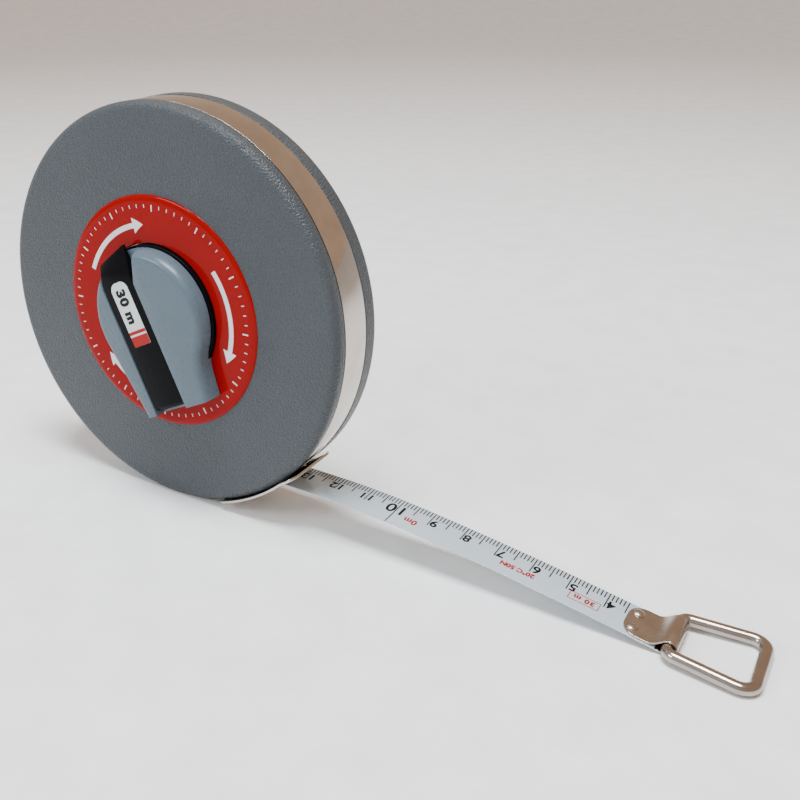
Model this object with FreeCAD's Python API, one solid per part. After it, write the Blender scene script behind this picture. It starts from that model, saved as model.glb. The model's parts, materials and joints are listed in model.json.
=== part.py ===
"""Closed-case steel long tape on a winding drum, with a folding crank and an end ring.

Millimetres. The drum turns about the Y axis. Y = 0 is the flat back of the case, the
crank is on the -Y side, +Z is up, and the tape leaves the case towards +X. The case
stands on its rim, where its leathercloth is pressed flat, and ground_z is the surface
under it.
"""
import FreeCAD
import Part
import math
import os

V = FreeCAD.Vector
Y_AXIS = V(0, 1, 0)

# ---- case ----
case_radius = 60.5            # over the covers
case_thickness = 21.8         # over the covers
cover_thickness = 0.7         # leathercloth
shell_wall = 0.8              # pressed steel under the leathercloth
cover_edge_radius = 2.5
standing_flat = 0.1           # how deep the leathercloth is pressed flat where the case stands
front_side_depth = 4.3        # how far the front cup reaches round the rim
back_side_depth = 6.4
seam_gap = 0.3                # groove between a cup's lip and the rim band
band_wall = 0.6
band_lap_clearance = 0.1      # radial, band flange inside a cup
band_end_clearance = 0.2      # band flange to where a cup's edge starts to round

# ---- tape and drum ----
tape_width = 12.7
tape_thickness = 0.25
coil_room = 11.4              # coil to the inside of the rim band
drum_radius = 20.0
coil_clearance = 0.1          # coil to drum, flanges and lead
drum_flange_radius = 24.0
drum_flange = 0.9
drum_recess = 1.4             # seats of the spring washer and the retainer, in the drum's ends
recess_clearance = 0.3        # radial
boss_radius = 13.9
boss_end_height = 1.0         # above the front face
bush_clearance = 0.08         # radial running fit
bush_wall = 2.0
bush_flange_radius = 21.0
bush_flange_height = 1.7      # above the front face
bush_edge_radius = 0.5
washer_thickness = 0.5
washer_bore_clearance = 0.3
washer_edge_inset = 0.2       # inside the bush's outer radius
end_float = 0.05
pivot_radius = 4.0
pivot_length = 11.0
pivot_clearance = 0.06        # radial running fit
pivot_end_gap = 0.4
pivot_flange_radius = 12.0
pivot_flange = 0.8
pivot_stake_radius = 3.0
stake_clearance = 0.05
spring_washer_wall = 0.3
spring_washer_bore_clearance = 0.6
spring_washer_edge_inset = 1.5
retainer_radius = 18.2
retainer_wall = 0.7
anchor_length = 8.0
anchor_width = 9.0
anchor_wall = 0.8
anchor_depth = 2.0            # drum's surface to the underside of the anchor
guide_pin_radius = 1.4
guide_pin_rim_gap = 0.5
guide_pin_gap = 1.0           # tape to each guide pin

# ---- label ----
label_radius = 35.1
label_thickness = 0.5
label_edge_radius = 0.3
label_clearance = 0.3         # round the bush flange

# ---- mouth ----
mouth_height = 4.2
mouth_side_clearance = 0.9    # beside the tape
mouth_plate_wall = 0.8
mouth_plate_stand_off = 0.15  # over the cups' rims
mouth_plate_below = 21.0      # along the rim, from where the tape leaves
mouth_plate_above = 3.9
mouth_lip_length = 6.6
mouth_lip_flare = 8.0         # degrees out from the rim's tangent
mouth_rivet_below = 13.6      # along the rim, from where the tape leaves
mouth_rivet_wall_gap = 0.15   # head to the inside of the band's hat section
mouth_rivet_radius = 0.8
mouth_rivet_head_radius = 1.3
mouth_rivet_head = 0.6
mouth_rivet_head_edge = 0.36
mouth_rivet_head_gap = 0.01

# ---- crank, measured from the front face and along its slot ----
crank_angle = -64.0           # which way the tail points, in the XZ plane
crank_top = 6.8
crank_head_radius = 20.5
crank_running_gap = 0.3       # over the bush flange
crank_tail_gap = 0.4          # over the label
crank_tail_length = 28.0
crank_tail_left = 15.6
crank_tail_right = 9.4
crank_right_taper = 9.0       # degrees, right edge of the tail
crank_waist_radius = 14.0
crank_edge_radius = 1.4
crank_pad_radius = 13.5
slot_width = 13.0
slot_offset = -4.9            # slot centre beside the axis
slot_floor = 3.0
slot_relief_start = -10.9
slot_relief_angle = 13.0
crank_screw_spacing = 16.0
crank_screw_radius = 1.5
crank_screw_head_radius = 2.75
crank_screw_head = 1.5
crank_screw_length = 8.0
crank_screw_end_gap = 0.3
crank_screw_groove_width = 0.7
crank_screw_groove_depth = 0.7
screw_clearance = 0.1

# ---- folding grip ----
grip_side_clearance = 0.3
grip_floor_clearance = 0.3
grip_thickness = 3.2
grip_end_radius = 22.3
grip_bevel_start = -13.5
grip_bevel_drop = 2.2
grip_pin_inset = 2.6          # from the tail's end
grip_pin_radius = 0.9
grip_pin_clearance = 0.05
grip_pin_fit = 0.02           # radial, in the crank
grip_pin_end_wall = 2.5
grip_pin_end_gap = 0.1
grip_pin_sunk = 1.0           # below the tail's left side
sticker_start = -13.0
sticker_length = 19.6
sticker_width = 7.0
sticker_thickness = 0.12
sticker_corner = 2.6

# ---- pulled-out blade ----
blade_level_run = 14.0
blade_bend_run = 30.0
blade_sag_run = 57.3
blade_bend_share = 0.67       # slope after the bend, as a share of the end slope
blade_start_share = 0.08
lead_gap = 0.3                # between the lead in the case and the blade

# ---- end clip and ring ----
clip_wall = 0.5
clip_length = 11.6            # leaves, from the rounded end to the loop's centre
clip_tape_gap = 0.6           # tape's end to the loop
clip_clearance = 0.02         # leaf to tape
clip_corner = 4.2
clip_side_inset = 0.25        # each side of the tape
clip_rivet_inset = 2.3
clip_rivet_spacing = 6.2
clip_rivet_radius = 0.7
clip_rivet_head_radius = 1.55
clip_rivet_head = 0.7
clip_rivet_foot = 0.3
clip_rivet_foot_radius = 1.4
clip_lift = 0.2               # loop above the surface the case stands on
ring_wire_radius = 1.6
ring_loop_clearance = 0.1     # radial, wire in the clip's loop
ring_side_clearance = 0.35    # clip's loop to each side bar
ring_length = 19.7            # between the centre lines of the cross bars
ring_far_width = 22.4
ring_near_corner = 2.2
ring_far_corner = 3.4

# ---- modelling ----
cut_margin = 1.0              # how far a cutter runs past the face that it cuts
touch = 0.01                  # edges nearer than this to a plane lie in it

# ---- worked out ----
mid_y = -case_thickness / 2
ground_z = -case_radius + standing_flat
shell_radius = case_radius - cover_thickness
shell_skin_y = cover_thickness + shell_wall
band_flange_radius = shell_radius - shell_wall - band_lap_clearance
band_inner_radius = band_flange_radius - band_wall
coil_radius = band_inner_radius - coil_room
band_front_y = -case_thickness + front_side_depth + seam_gap
band_back_y = -back_side_depth - seam_gap
bush_bore = boss_radius + bush_clearance
bush_radius = bush_bore + bush_wall
tape_top_z = -coil_radius - coil_clearance
tape_z = tape_top_z - tape_thickness / 2
mouth_width = tape_width + 2 * mouth_side_clearance
mouth_x = math.sqrt(case_radius ** 2 - tape_z ** 2)
mouth_angle = math.degrees(math.atan2(tape_z, mouth_x))
mouth_plate_low_angle = mouth_angle - math.degrees(mouth_plate_below / case_radius)
mouth_lip_angle = mouth_angle + math.degrees(mouth_plate_above / case_radius)
mouth_rivet_angle = mouth_angle - math.degrees(mouth_rivet_below / case_radius)
plate_inner_radius = case_radius + mouth_plate_stand_off
plate_outer_radius = plate_inner_radius + mouth_plate_wall
drum_front_y = mid_y - tape_width / 2 - coil_clearance
drum_back_y = mid_y + tape_width / 2 + coil_clearance
back_recess_y = drum_back_y + drum_flange - drum_recess
front_recess_y = drum_front_y - drum_flange + drum_recess
loop_inner = ring_wire_radius + ring_loop_clearance
loop_outer = loop_inner + clip_wall
clip_half_gap = tape_thickness / 2 + clip_clearance
loop_centre_height = loop_outer - clip_half_gap - clip_wall
loop_z = ground_z + clip_lift + loop_outer


# ---------------------------------------------------------------- helpers
def front_y(height):
    """The Y of a point that stands this high over the front face."""
    return -case_thickness - height


def disc(radius, y_low, y_high, x=0.0, z=0.0):
    """A cylinder along Y."""
    return Part.makeCylinder(radius, y_high - y_low, V(x, y_low, z), Y_AXIS)


def tube(outer, inner, y_low, y_high, x=0.0, z=0.0):
    """A ring along Y."""
    bore = disc(inner, y_low - cut_margin, y_high + cut_margin, x, z)
    return disc(outer, y_low, y_high, x, z).cut(bore)


def block(x_low, x_high, y_low, y_high, z_low, z_high):
    """A box from its corners."""
    return Part.makeBox(x_high - x_low, y_high - y_low, z_high - z_low, V(x_low, y_low, z_low))


def turned(points):
    """A solid turned about Y from (radius, y) points."""
    loop = [V(radius, y, 0) for radius, y in points]
    face = Part.Face(Part.makePolygon(loop + loop[:1]))
    return face.revolve(V(0, 0, 0), Y_AXIS, 360)


def on_rim(angle, radius, y=0.0):
    """The point at this angle and radius in the XZ plane."""
    turn = math.radians(angle)
    return V(radius * math.cos(turn), y, radius * math.sin(turn))


def cup(outer, wall, edge, depth, bore, face_y, inward):
    """A pressed cup: a disc at face_y whose rounded rim runs inward, +1 or -1 along Y."""
    bend = math.sqrt(0.5)

    def arc(radius):
        start = V(outer - edge, face_y + inward * (edge - radius), 0)
        middle = V(outer - edge + radius * bend, face_y + inward * (edge - radius * bend), 0)
        end = V(outer - edge + radius, face_y + inward * edge, 0)
        return start, middle, end

    low_1, low_2, low_3 = arc(edge)
    high_1, high_2, high_3 = arc(edge - wall)
    lip_y = face_y + inward * depth
    hub_low = V(bore, face_y, 0)
    hub_high = V(bore, face_y + inward * wall, 0)
    edges = [
        Part.makeLine(hub_low, low_1),
        Part.Arc(low_1, low_2, low_3).toShape(),
        Part.makeLine(low_3, V(outer, lip_y, 0)),
        Part.makeLine(V(outer, lip_y, 0), V(outer - wall, lip_y, 0)),
        Part.makeLine(V(outer - wall, lip_y, 0), high_3),
        Part.Arc(high_3, high_2, high_1).toShape(),
        Part.makeLine(high_1, hub_high),
    ]
    if bore > 0:
        edges.append(Part.makeLine(hub_high, hub_low))
    else:
        edges.append(Part.makeLine(V(0, hub_high.y, 0), V(0, hub_low.y, 0)))
    face = Part.Face(Part.Wire(Part.__sortEdges__(edges)))
    return face.revolve(V(0, 0, 0), Y_AXIS, 360)


def mouth_cutter():
    """The straight way out for the tape through the rim."""
    low = tape_z - mouth_height / 2
    reach = mouth_plate_below / 2
    return block(
        mouth_x - reach, mouth_x + reach, mid_y - mouth_width / 2, mid_y + mouth_width / 2,
        low, low + mouth_height,
    )


def mouth_rivet_holes():
    """Holes on the rim for the mouth plate's rivets, with their clearance."""
    return rivet_shanks(mouth_rivet_radius + stake_clearance, plate_outer_radius + cut_margin)


def rivet_shanks(radius, top):
    """One radial rod for each mouth rivet, from inside the band up to top."""
    bottom = band_inner_radius - cut_margin
    aim = on_rim(mouth_rivet_angle, 1)
    rods = [rod(radius, top - bottom, on_rim(mouth_rivet_angle, bottom, y), aim)
            for y in mouth_rivet_ys()]
    return Part.makeCompound(rods)


def mouth_rivet_ys():
    """The rivets stand as far apart as the band's polished strip lets their heads."""
    edge = band_wall + mouth_rivet_wall_gap + mouth_rivet_head_radius
    return [band_front_y + edge, band_back_y - edge]


def to_crank(shape):
    """From the crank's own frame (X along the tail, Z off the face) to the part's."""
    stand = FreeCAD.Rotation(V(1, 0, 0), 90)
    spin = FreeCAD.Rotation(Y_AXIS, -crank_angle)
    shape = shape.copy()
    shape.Placement = FreeCAD.Placement(V(0, front_y(0), 0), spin.multiply(stand))
    return shape


def rod(radius, length, centre, direction):
    """A cylinder that starts at centre."""
    return Part.makeCylinder(radius, length, centre, direction)


# ---------------------------------------------------------------- case
def pressed_flat(cover):
    """The cover with its lowest stretch pressed flat by the surface that it stands on."""
    side = case_radius + cut_margin
    return cover.cut(block(-side, side, front_y(cut_margin), cut_margin, -side, ground_z))


def front_shell():
    """Pressed steel cup with a hole for the bush."""
    face_y = -case_thickness + cover_thickness
    shell = cup(
        shell_radius, shell_wall, cover_edge_radius - cover_thickness,
        front_side_depth - cover_thickness, bush_radius + stake_clearance, face_y, 1,
    )
    return shell.cut(mouth_cutter())


def front_cover():
    """Leathercloth on the front shell."""
    cover = cup(
        case_radius, cover_thickness, cover_edge_radius, front_side_depth,
        bush_flange_radius + label_clearance, -case_thickness, 1,
    )
    return pressed_flat(cover.cut(mouth_cutter()))


def back_shell():
    """Pressed steel cup with a hole for the pivot's stake."""
    shell = cup(
        shell_radius, shell_wall, cover_edge_radius - cover_thickness,
        back_side_depth - cover_thickness, pivot_stake_radius + stake_clearance,
        -cover_thickness, -1,
    )
    return shell.cut(mouth_cutter())


def back_cover():
    """Leathercloth on the back shell, with no hole."""
    cover = cup(
        case_radius, cover_thickness, cover_edge_radius, back_side_depth, 0.0, 0.0, -1,
    )
    return pressed_flat(cover.cut(mouth_cutter()))


def rim_band():
    """A hat section: the polished strip shows, its two lower flanges tuck into the cups."""
    low = band_front_y
    high = band_back_y
    front_flange = -case_thickness + cover_edge_radius + band_end_clearance
    back_flange = -cover_edge_radius - band_end_clearance
    top = shell_radius
    under = top - band_wall
    flange_in = band_inner_radius
    band = turned([
        (band_flange_radius, front_flange), (band_flange_radius, low), (top, low), (top, high),
        (band_flange_radius, high), (band_flange_radius, back_flange), (flange_in, back_flange),
        (flange_in, high - band_wall), (under, high - band_wall), (under, low + band_wall),
        (flange_in, low + band_wall), (flange_in, front_flange),
    ])
    return band.cut(mouth_cutter()).cut(mouth_rivet_holes())


def label_ring():
    low = front_y(label_thickness)
    ring = tube(label_radius, bush_flange_radius + label_clearance, low, front_y(0))
    outer = [edge for edge in ring.Edges if abs(edge.BoundBox.YMax - low) < touch]
    return ring.makeFillet(label_edge_radius, outer)


def mouth_plate():
    """Sheet that follows the rim below the tape, passes it through a slot and ends in a lip."""
    start = math.radians(mouth_plate_low_angle)
    end = math.radians(mouth_lip_angle)
    heading = end + math.pi / 2 - math.radians(mouth_lip_flare)
    run = V(math.cos(heading), 0, math.sin(heading)) * mouth_lip_length
    wall = V(math.sin(heading), 0, -math.cos(heading)) * mouth_plate_wall

    def at(radius, angle):
        return V(radius * math.cos(angle), 0, radius * math.sin(angle))

    middle = (start + end) / 2
    inner_end = at(plate_inner_radius, end)
    outer_end = at(plate_outer_radius, end)
    edges = [
        Part.Arc(at(plate_inner_radius, start), at(plate_inner_radius, middle), inner_end).toShape(),
        Part.makeLine(inner_end, inner_end + run),
        Part.makeLine(inner_end + run, inner_end + run + wall),
        Part.makeLine(inner_end + run + wall, outer_end),
        Part.Arc(outer_end, at(plate_outer_radius, middle), at(plate_outer_radius, start)).toShape(),
        Part.makeLine(at(plate_outer_radius, start), at(plate_inner_radius, start)),
    ]
    face = Part.Face(Part.Wire(edges))
    plate = face.extrude(V(0, -case_thickness, 0))
    return plate.cut(mouth_cutter()).cut(mouth_rivet_holes())


def mouth_rivets():
    """Two rivets that hold the mouth plate to the band."""
    aim = on_rim(mouth_rivet_angle, 1)
    foot_low = shell_radius - band_wall - stake_clearance - mouth_rivet_head
    head_low = plate_outer_radius + mouth_rivet_head_gap
    head_top = head_low + mouth_rivet_head
    rivets = []
    for y in mouth_rivet_ys():
        foot = rod(mouth_rivet_head_radius, mouth_rivet_head,
                   on_rim(mouth_rivet_angle, foot_low, y), aim)
        shank = rod(mouth_rivet_radius, head_low - foot_low + mouth_rivet_head / 2,
                    on_rim(mouth_rivet_angle, foot_low, y), aim)
        head = rod(mouth_rivet_head_radius, mouth_rivet_head,
                   on_rim(mouth_rivet_angle, head_low, y), aim)
        far = [edge for edge in head.Edges
               if abs(edge.CenterOfMass.dot(aim) - head_top) < touch]
        head = head.makeFillet(mouth_rivet_head_edge, far)
        rivets.append(foot.fuse(shank).fuse(head).removeSplitter())
    return Part.makeCompound(rivets)


def guide_pins():
    """Two pins across the case that keep the tape off the mouth's cut edges."""
    low_y = -case_thickness + shell_skin_y
    high_y = -shell_skin_y
    reach = guide_pin_radius + guide_pin_gap + tape_thickness / 2
    limit = band_inner_radius - guide_pin_radius - guide_pin_rim_gap
    low_x = math.sqrt(limit ** 2 - (tape_z - reach) ** 2)
    high_x = math.sqrt(limit ** 2 - (tape_z + reach) ** 2)
    pins = [
        disc(guide_pin_radius, low_y, high_y, low_x, tape_z - reach),
        disc(guide_pin_radius, low_y, high_y, high_x, tape_z + reach),
    ]
    return Part.makeCompound(pins)


# ---------------------------------------------------------------- bearing
def front_bush():
    """Black flanged bush in the front shell: its flange is the collar under the crank."""
    outer_y = front_y(bush_flange_height)
    seat_y = -case_thickness + cover_thickness
    inner_y = bush_inner_y()
    flange = tube(bush_flange_radius, bush_bore, outer_y, seat_y)
    rim = [edge for edge in flange.Edges
           if abs(edge.BoundBox.YMax - outer_y) < touch and edge.BoundBox.XMax > bush_radius]
    sleeve = tube(bush_radius, bush_bore, seat_y, inner_y)
    return flange.makeFillet(bush_edge_radius, rim).fuse(sleeve).removeSplitter()


def bush_inner_y():
    """The bush's inner end, which the thrust washer runs on."""
    return front_recess_y - washer_thickness - end_float


def bush_retainer():
    """Push-on ring that holds the bush in the front shell."""
    low = -case_thickness + shell_skin_y
    return tube(retainer_radius, bush_radius + stake_clearance, low, low + retainer_wall)


def thrust_washer():
    """Nylon washer between the bush's inner end and the drum."""
    low = bush_inner_y() + end_float / 2
    return tube(bush_radius - washer_edge_inset, boss_radius + washer_bore_clearance,
                low, low + washer_thickness)


def back_pivot():
    """Flanged post staked in the back shell, which carries the drum's far end."""
    seat = -shell_skin_y
    stake = disc(pivot_stake_radius, seat, -cover_thickness)
    flange = disc(pivot_flange_radius, seat - pivot_flange, seat)
    post = disc(pivot_radius, seat - pivot_flange - pivot_length, seat - pivot_flange)
    return stake.fuse(flange).fuse(post).removeSplitter()


def spring_washer():
    """Coned washer between the pivot's flange and the drum's recess: the drum's light brake."""
    low = back_recess_y + end_float
    high = -shell_skin_y - pivot_flange - end_float
    inner = pivot_radius + spring_washer_bore_clearance
    outer = pivot_flange_radius - spring_washer_edge_inset
    wall = spring_washer_wall
    return turned([(inner, low), (inner, low + wall), (outer, high), (outer, high - wall)])


# ---------------------------------------------------------------- drum
def drum():
    """Hub, two low flanges and the boss that comes out through the front bush."""
    back = drum_back_y + drum_flange
    front = drum_front_y - drum_flange
    core = disc(drum_radius, front, back)
    flanges = disc(drum_flange_radius, front, drum_front_y)
    flanges = flanges.fuse(disc(drum_flange_radius, drum_back_y, back))
    boss = disc(boss_radius, front_y(boss_end_height), front)
    hub = core.fuse(flanges).fuse(boss).removeSplitter()
    pivot_end = -shell_skin_y - pivot_flange - pivot_length
    past = back + cut_margin
    hub = hub.cut(disc(pivot_radius + pivot_clearance, pivot_end - pivot_end_gap, past))
    hub = hub.cut(disc(pivot_flange_radius + recess_clearance, back_recess_y, past))
    hub = hub.cut(tube(retainer_radius + recess_clearance, boss_radius, front - cut_margin,
                       front_recess_y))
    hub = hub.cut(anchor_block(stake_clearance))
    shafts = crank_screw_shafts(crank_screw_radius + stake_clearance, crank_screw_end_gap)
    return hub.cut(to_crank(shafts))


def anchor_block(clearance):
    """A block through the drum's surface that is this much larger than the anchor."""
    half_length = anchor_length / 2 + clearance
    half_width = anchor_width / 2 + clearance
    return block(-half_length, half_length, mid_y - half_width, mid_y + half_width,
                 drum_radius - anchor_depth - clearance, drum_radius + cut_margin)


def tape_anchor():
    """Steel plate let into the drum, which the coil's inner end hooks over."""
    return anchor_block(0).common(disc(drum_radius, mid_y - anchor_width, mid_y + anchor_width))


def tape_coil():
    """The rest of the tape, wound on the drum."""
    return tube(coil_radius, drum_radius + coil_clearance,
                mid_y - tape_width / 2, mid_y + tape_width / 2)


# ---------------------------------------------------------------- crank
def crank_outline():
    """Head circle and tail in the crank's own plane."""
    end = crank_tail_length
    left = V(end, -crank_tail_left, 0)
    right = V(end, crank_tail_right, 0)
    reach = left.Length
    turn = math.atan2(left.y, left.x) - math.acos(crank_head_radius / reach)
    left_tangent = V(math.cos(turn), math.sin(turn), 0) * crank_head_radius
    taper = math.radians(crank_right_taper)
    back = V(-math.cos(taper), math.sin(taper), 0)
    out = V(math.sin(taper), math.cos(taper), 0)
    base = right + out * crank_waist_radius
    wide = crank_head_radius + crank_waist_radius
    along = base.dot(back)
    root = math.sqrt(along ** 2 - base.dot(base) + wide ** 2)
    centre = base + back * (-along - root)
    waist_start = centre - out * crank_waist_radius
    waist_end = centre * (crank_head_radius / wide)
    waist_aim = (waist_start + waist_end) * 0.5 - centre
    waist_middle = centre + waist_aim * (crank_waist_radius / waist_aim.Length)
    edges = [
        Part.makeLine(left, left_tangent),
        Part.Arc(left_tangent, V(-crank_head_radius, 0, 0), waist_end).toShape(),
        Part.Arc(waist_end, waist_middle, waist_start).toShape(),
        Part.makeLine(waist_start, right),
        Part.makeLine(right, left),
    ]
    return Part.Face(Part.Wire(edges))


def crank_screw_shafts(radius, extra):
    """Shafts of the two crank screws in the crank's own frame."""
    top = slot_floor
    shafts = []
    for side in (-1, 1):
        place = V(side * crank_screw_spacing / 2, slot_offset, top - crank_screw_length - extra)
        shafts.append(Part.makeCylinder(radius, crank_screw_length + extra, place))
    return Part.makeCompound(shafts)


def crank_screw_heads(radius, top):
    """Countersunk heads of the two crank screws in the crank's own frame."""
    heads = []
    for side in (-1, 1):
        place = V(side * crank_screw_spacing / 2, slot_offset, top - crank_screw_head)
        grow = radius - crank_screw_head_radius
        heads.append(Part.makeCone(crank_screw_radius + grow, radius, crank_screw_head, place))
    return Part.makeCompound(heads)


def grip_pin_place():
    """Along the tail and off the face: the axis that the grip folds about."""
    height = slot_floor + grip_floor_clearance + grip_thickness / 2
    return crank_tail_length - grip_pin_inset, height


def crank_arm():
    """The winding crank: a thick head over the collar and a tail over the label."""
    tail_base = label_thickness + crank_tail_gap
    head_base = bush_flange_height + crank_running_gap
    body = crank_outline()
    body.translate(V(0, 0, tail_base))
    body = body.extrude(V(0, 0, crank_top - tail_base))
    top = [edge for edge in body.Edges
           if edge.BoundBox.ZMin > crank_top - touch]
    body = body.makeFillet(crank_edge_radius, top)
    collar_room = bush_flange_radius + crank_running_gap
    body = body.cut(Part.makeCylinder(collar_room, head_base, V(0, 0, 0)))
    pad = Part.makeCylinder(crank_pad_radius, slot_floor - boss_end_height,
                            V(0, 0, boss_end_height))
    body = body.fuse(pad).removeSplitter()
    far = far_side()
    slot_low = slot_offset - slot_width / 2
    slot_high = slot_offset + slot_width / 2
    slot = block(-far, far, slot_low, slot_high, slot_floor, crank_top + cut_margin)
    spread = (far + slot_relief_start) * math.tan(math.radians(slot_relief_angle))
    wedge = Part.Face(Part.makePolygon([
        V(slot_relief_start, slot_high, slot_floor), V(-far, slot_high, slot_floor),
        V(-far, slot_high + spread, slot_floor), V(slot_relief_start, slot_high, slot_floor),
    ])).extrude(V(0, 0, crank_top))
    body = body.cut(slot).cut(wedge)
    pin_u, pin_h = grip_pin_place()
    pin_low = -crank_tail_left - cut_margin
    pin_end = crank_tail_right - grip_pin_end_wall
    bore = rod(grip_pin_radius + grip_pin_fit, pin_end - pin_low, V(pin_u, pin_low, pin_h), Y_AXIS)
    body = body.cut(bore)
    body = body.cut(crank_screw_shafts(crank_screw_radius + screw_clearance, cut_margin))
    body = body.cut(crank_screw_heads(crank_screw_head_radius + screw_clearance, slot_floor))
    return to_crank(body)


def crank_screws():
    """Two countersunk screws in the slot's floor, into the drum's boss."""
    screws = []
    shafts = crank_screw_shafts(crank_screw_radius, 0).Solids
    heads = crank_screw_heads(crank_screw_head_radius, slot_floor).Solids
    for shaft, head in zip(shafts, heads):
        screw = shaft.fuse(head).removeSplitter()
        box = head.BoundBox
        groove = block(
            box.XMin - cut_margin, box.XMax + cut_margin,
            box.Center.y - crank_screw_groove_width / 2, box.Center.y + crank_screw_groove_width / 2,
            slot_floor - crank_screw_groove_depth, slot_floor + cut_margin,
        )
        screws.append(screw.cut(groove))
    return to_crank(Part.makeCompound(screws))


def grip_pin():
    """The pin that the grip folds about, pressed into the tail."""
    pin_u, pin_h = grip_pin_place()
    low = -crank_tail_left + grip_pin_sunk
    high = crank_tail_right - grip_pin_end_wall - grip_pin_end_gap
    return to_crank(rod(grip_pin_radius, high - low, V(pin_u, low, pin_h), Y_AXIS))


def folding_grip():
    """Flat bar that lies in the slot and folds out about its pin."""
    pin_u, pin_h = grip_pin_place()
    low = pin_h - grip_thickness / 2
    high = pin_h + grip_thickness / 2
    side_low = slot_offset - slot_width / 2 + grip_side_clearance
    side_high = slot_offset + slot_width / 2 - grip_side_clearance
    bevel_end = -grip_end_radius - cut_margin
    bar = block(bevel_end, pin_u, side_low, side_high, low, high)
    reach = Part.makeCylinder(grip_end_radius, high, V(0, 0, 0))
    reach = reach.fuse(block(0, pin_u, -far_side(), far_side(), 0, high))
    bar = bar.common(reach)
    barrel = rod(grip_thickness / 2, side_high - side_low, V(pin_u, side_low, pin_h), Y_AXIS)
    bar = bar.fuse(barrel).removeSplitter()
    slope = grip_bevel_drop / (grip_end_radius + grip_bevel_start)
    drop = (grip_bevel_start - bevel_end) * slope
    past = side_low - cut_margin
    bevel = Part.Face(Part.makePolygon([
        V(grip_bevel_start, past, high), V(bevel_end, past, high),
        V(bevel_end, past, high - drop), V(grip_bevel_start, past, high),
    ])).extrude(V(0, side_high - side_low + 2 * cut_margin, 0))
    bar = bar.cut(bevel)
    bore = rod(grip_pin_radius + grip_pin_clearance, 3 * slot_width,
               V(pin_u, slot_offset - slot_width, pin_h), Y_AXIS)
    return to_crank(bar.cut(bore))


def far_side():
    """Further out than any part of the crank."""
    return 2 * crank_head_radius


def grip_sticker():
    """Thin printed plate on the grip, with rounded corners towards the crank's head."""
    high = grip_pin_place()[1] + grip_thickness / 2
    plate = block(
        sticker_start, sticker_start + sticker_length, slot_offset - sticker_width / 2,
        slot_offset + sticker_width / 2, high, high + sticker_thickness,
    )
    corners = [edge for edge in plate.Edges
               if edge.BoundBox.XMax < sticker_start + touch and edge.BoundBox.ZLength > touch
               and edge.BoundBox.YLength < touch]
    return to_crank(plate.makeFillet(sticker_corner, corners))


# ---------------------------------------------------------------- blade
class Strip:
    """A strip in the XZ plane, grown run by run; angles are slopes below level, in degrees."""

    def __init__(self, x, z, slope, thickness):
        self.x = x
        self.z = z
        self.slope = slope
        self.half = thickness / 2
        self.top = []
        self.bottom = []

    def side(self, way):
        """The point of the top, +1, or the bottom, -1, at the strip's present end."""
        turn = math.radians(self.slope)
        return V(self.x + way * self.half * math.sin(turn), 0,
                 self.z + way * self.half * math.cos(turn))

    def advance(self, length, slope):
        """Move the end along by length while the slope changes evenly to slope."""
        turn = math.radians((self.slope + slope) / 2)
        half_change = math.radians(slope - self.slope) / 2
        chord = length
        if abs(half_change) > 1e-9:
            chord = length * math.sin(half_change) / half_change
        self.x += chord * math.cos(turn)
        self.z -= chord * math.sin(turn)
        self.slope = slope

    def run(self, length, slope):
        """Add one straight or round run that ends at slope."""
        starts = [self.side(1), self.side(-1)]
        middle = Strip(self.x, self.z, self.slope, 2 * self.half)
        middle.advance(length / 2, (self.slope + slope) / 2)
        straight = abs(slope - self.slope) < 1e-9
        self.advance(length, slope)
        for way, start, edges in ((1, starts[0], self.top), (-1, starts[1], self.bottom)):
            if straight:
                edges.append(Part.makeLine(start, self.side(way)))
            else:
                edges.append(Part.Arc(start, middle.side(way), self.side(way)).toShape())

    def solid(self, start_edge_points, width):
        """The strip as a solid of this width, centred on the middle of the case."""
        near = Part.makeLine(*start_edge_points)
        far = Part.makeLine(self.side(1), self.side(-1))
        face = Part.Face(Part.Wire(Part.__sortEdges__([near, far] + self.top + self.bottom)))
        sheet = face.extrude(V(0, width, 0))
        sheet.translate(V(0, mid_y - width / 2, 0))
        return sheet


def blade_runs(end_slope):
    """Length and final slope of each run of the blade outside the case."""
    tail = clip_length - loop_outer - clip_tape_gap
    return [
        (blade_level_run, end_slope * blade_start_share),
        (blade_bend_run, end_slope * blade_bend_share),
        (blade_sag_run, end_slope),
        (tail, end_slope),
    ]


def blade_strip(end_slope):
    """The blade as a strip, with the two points of its start edge."""
    strip = Strip(mouth_x, tape_z, end_slope * blade_start_share, tape_thickness)
    start = (strip.side(1), strip.side(-1))
    for length, slope in blade_runs(end_slope):
        strip.run(length, slope)
    return strip, start


def loop_centre(strip):
    """Centre of the clip's loop, which carries on in line from the blade's end."""
    turn = math.radians(strip.slope)
    ahead = loop_outer + clip_tape_gap
    return (strip.x + ahead * math.cos(turn) + loop_centre_height * math.sin(turn),
            strip.z - ahead * math.sin(turn) + loop_centre_height * math.cos(turn))


def end_slope():
    """The slope at which the clip's loop comes down to its height over the surface."""
    low, high = 0.0, 40.0
    for _ in range(60):
        middle = (low + high) / 2
        if loop_centre(blade_strip(middle)[0])[1] > loop_z:
            low = middle
        else:
            high = middle
    return (low + high) / 2


blade_end_slope = end_slope()
loop_x = loop_centre(blade_strip(blade_end_slope)[0])[0]


def to_clip(shape):
    """From the clip's own frame (origin at the loop's centre, X along the blade)."""
    shape = shape.copy()
    shape.Placement = FreeCAD.Placement(
        V(loop_x, mid_y, loop_z), FreeCAD.Rotation(Y_AXIS, blade_end_slope))
    return shape


def clip_rivet_places():
    """Where the rivets cross the blade's middle, in the clip's own frame."""
    along = -clip_length + clip_rivet_inset
    return [V(along, side * clip_rivet_spacing / 2, -loop_centre_height) for side in (-1, 1)]


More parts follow.
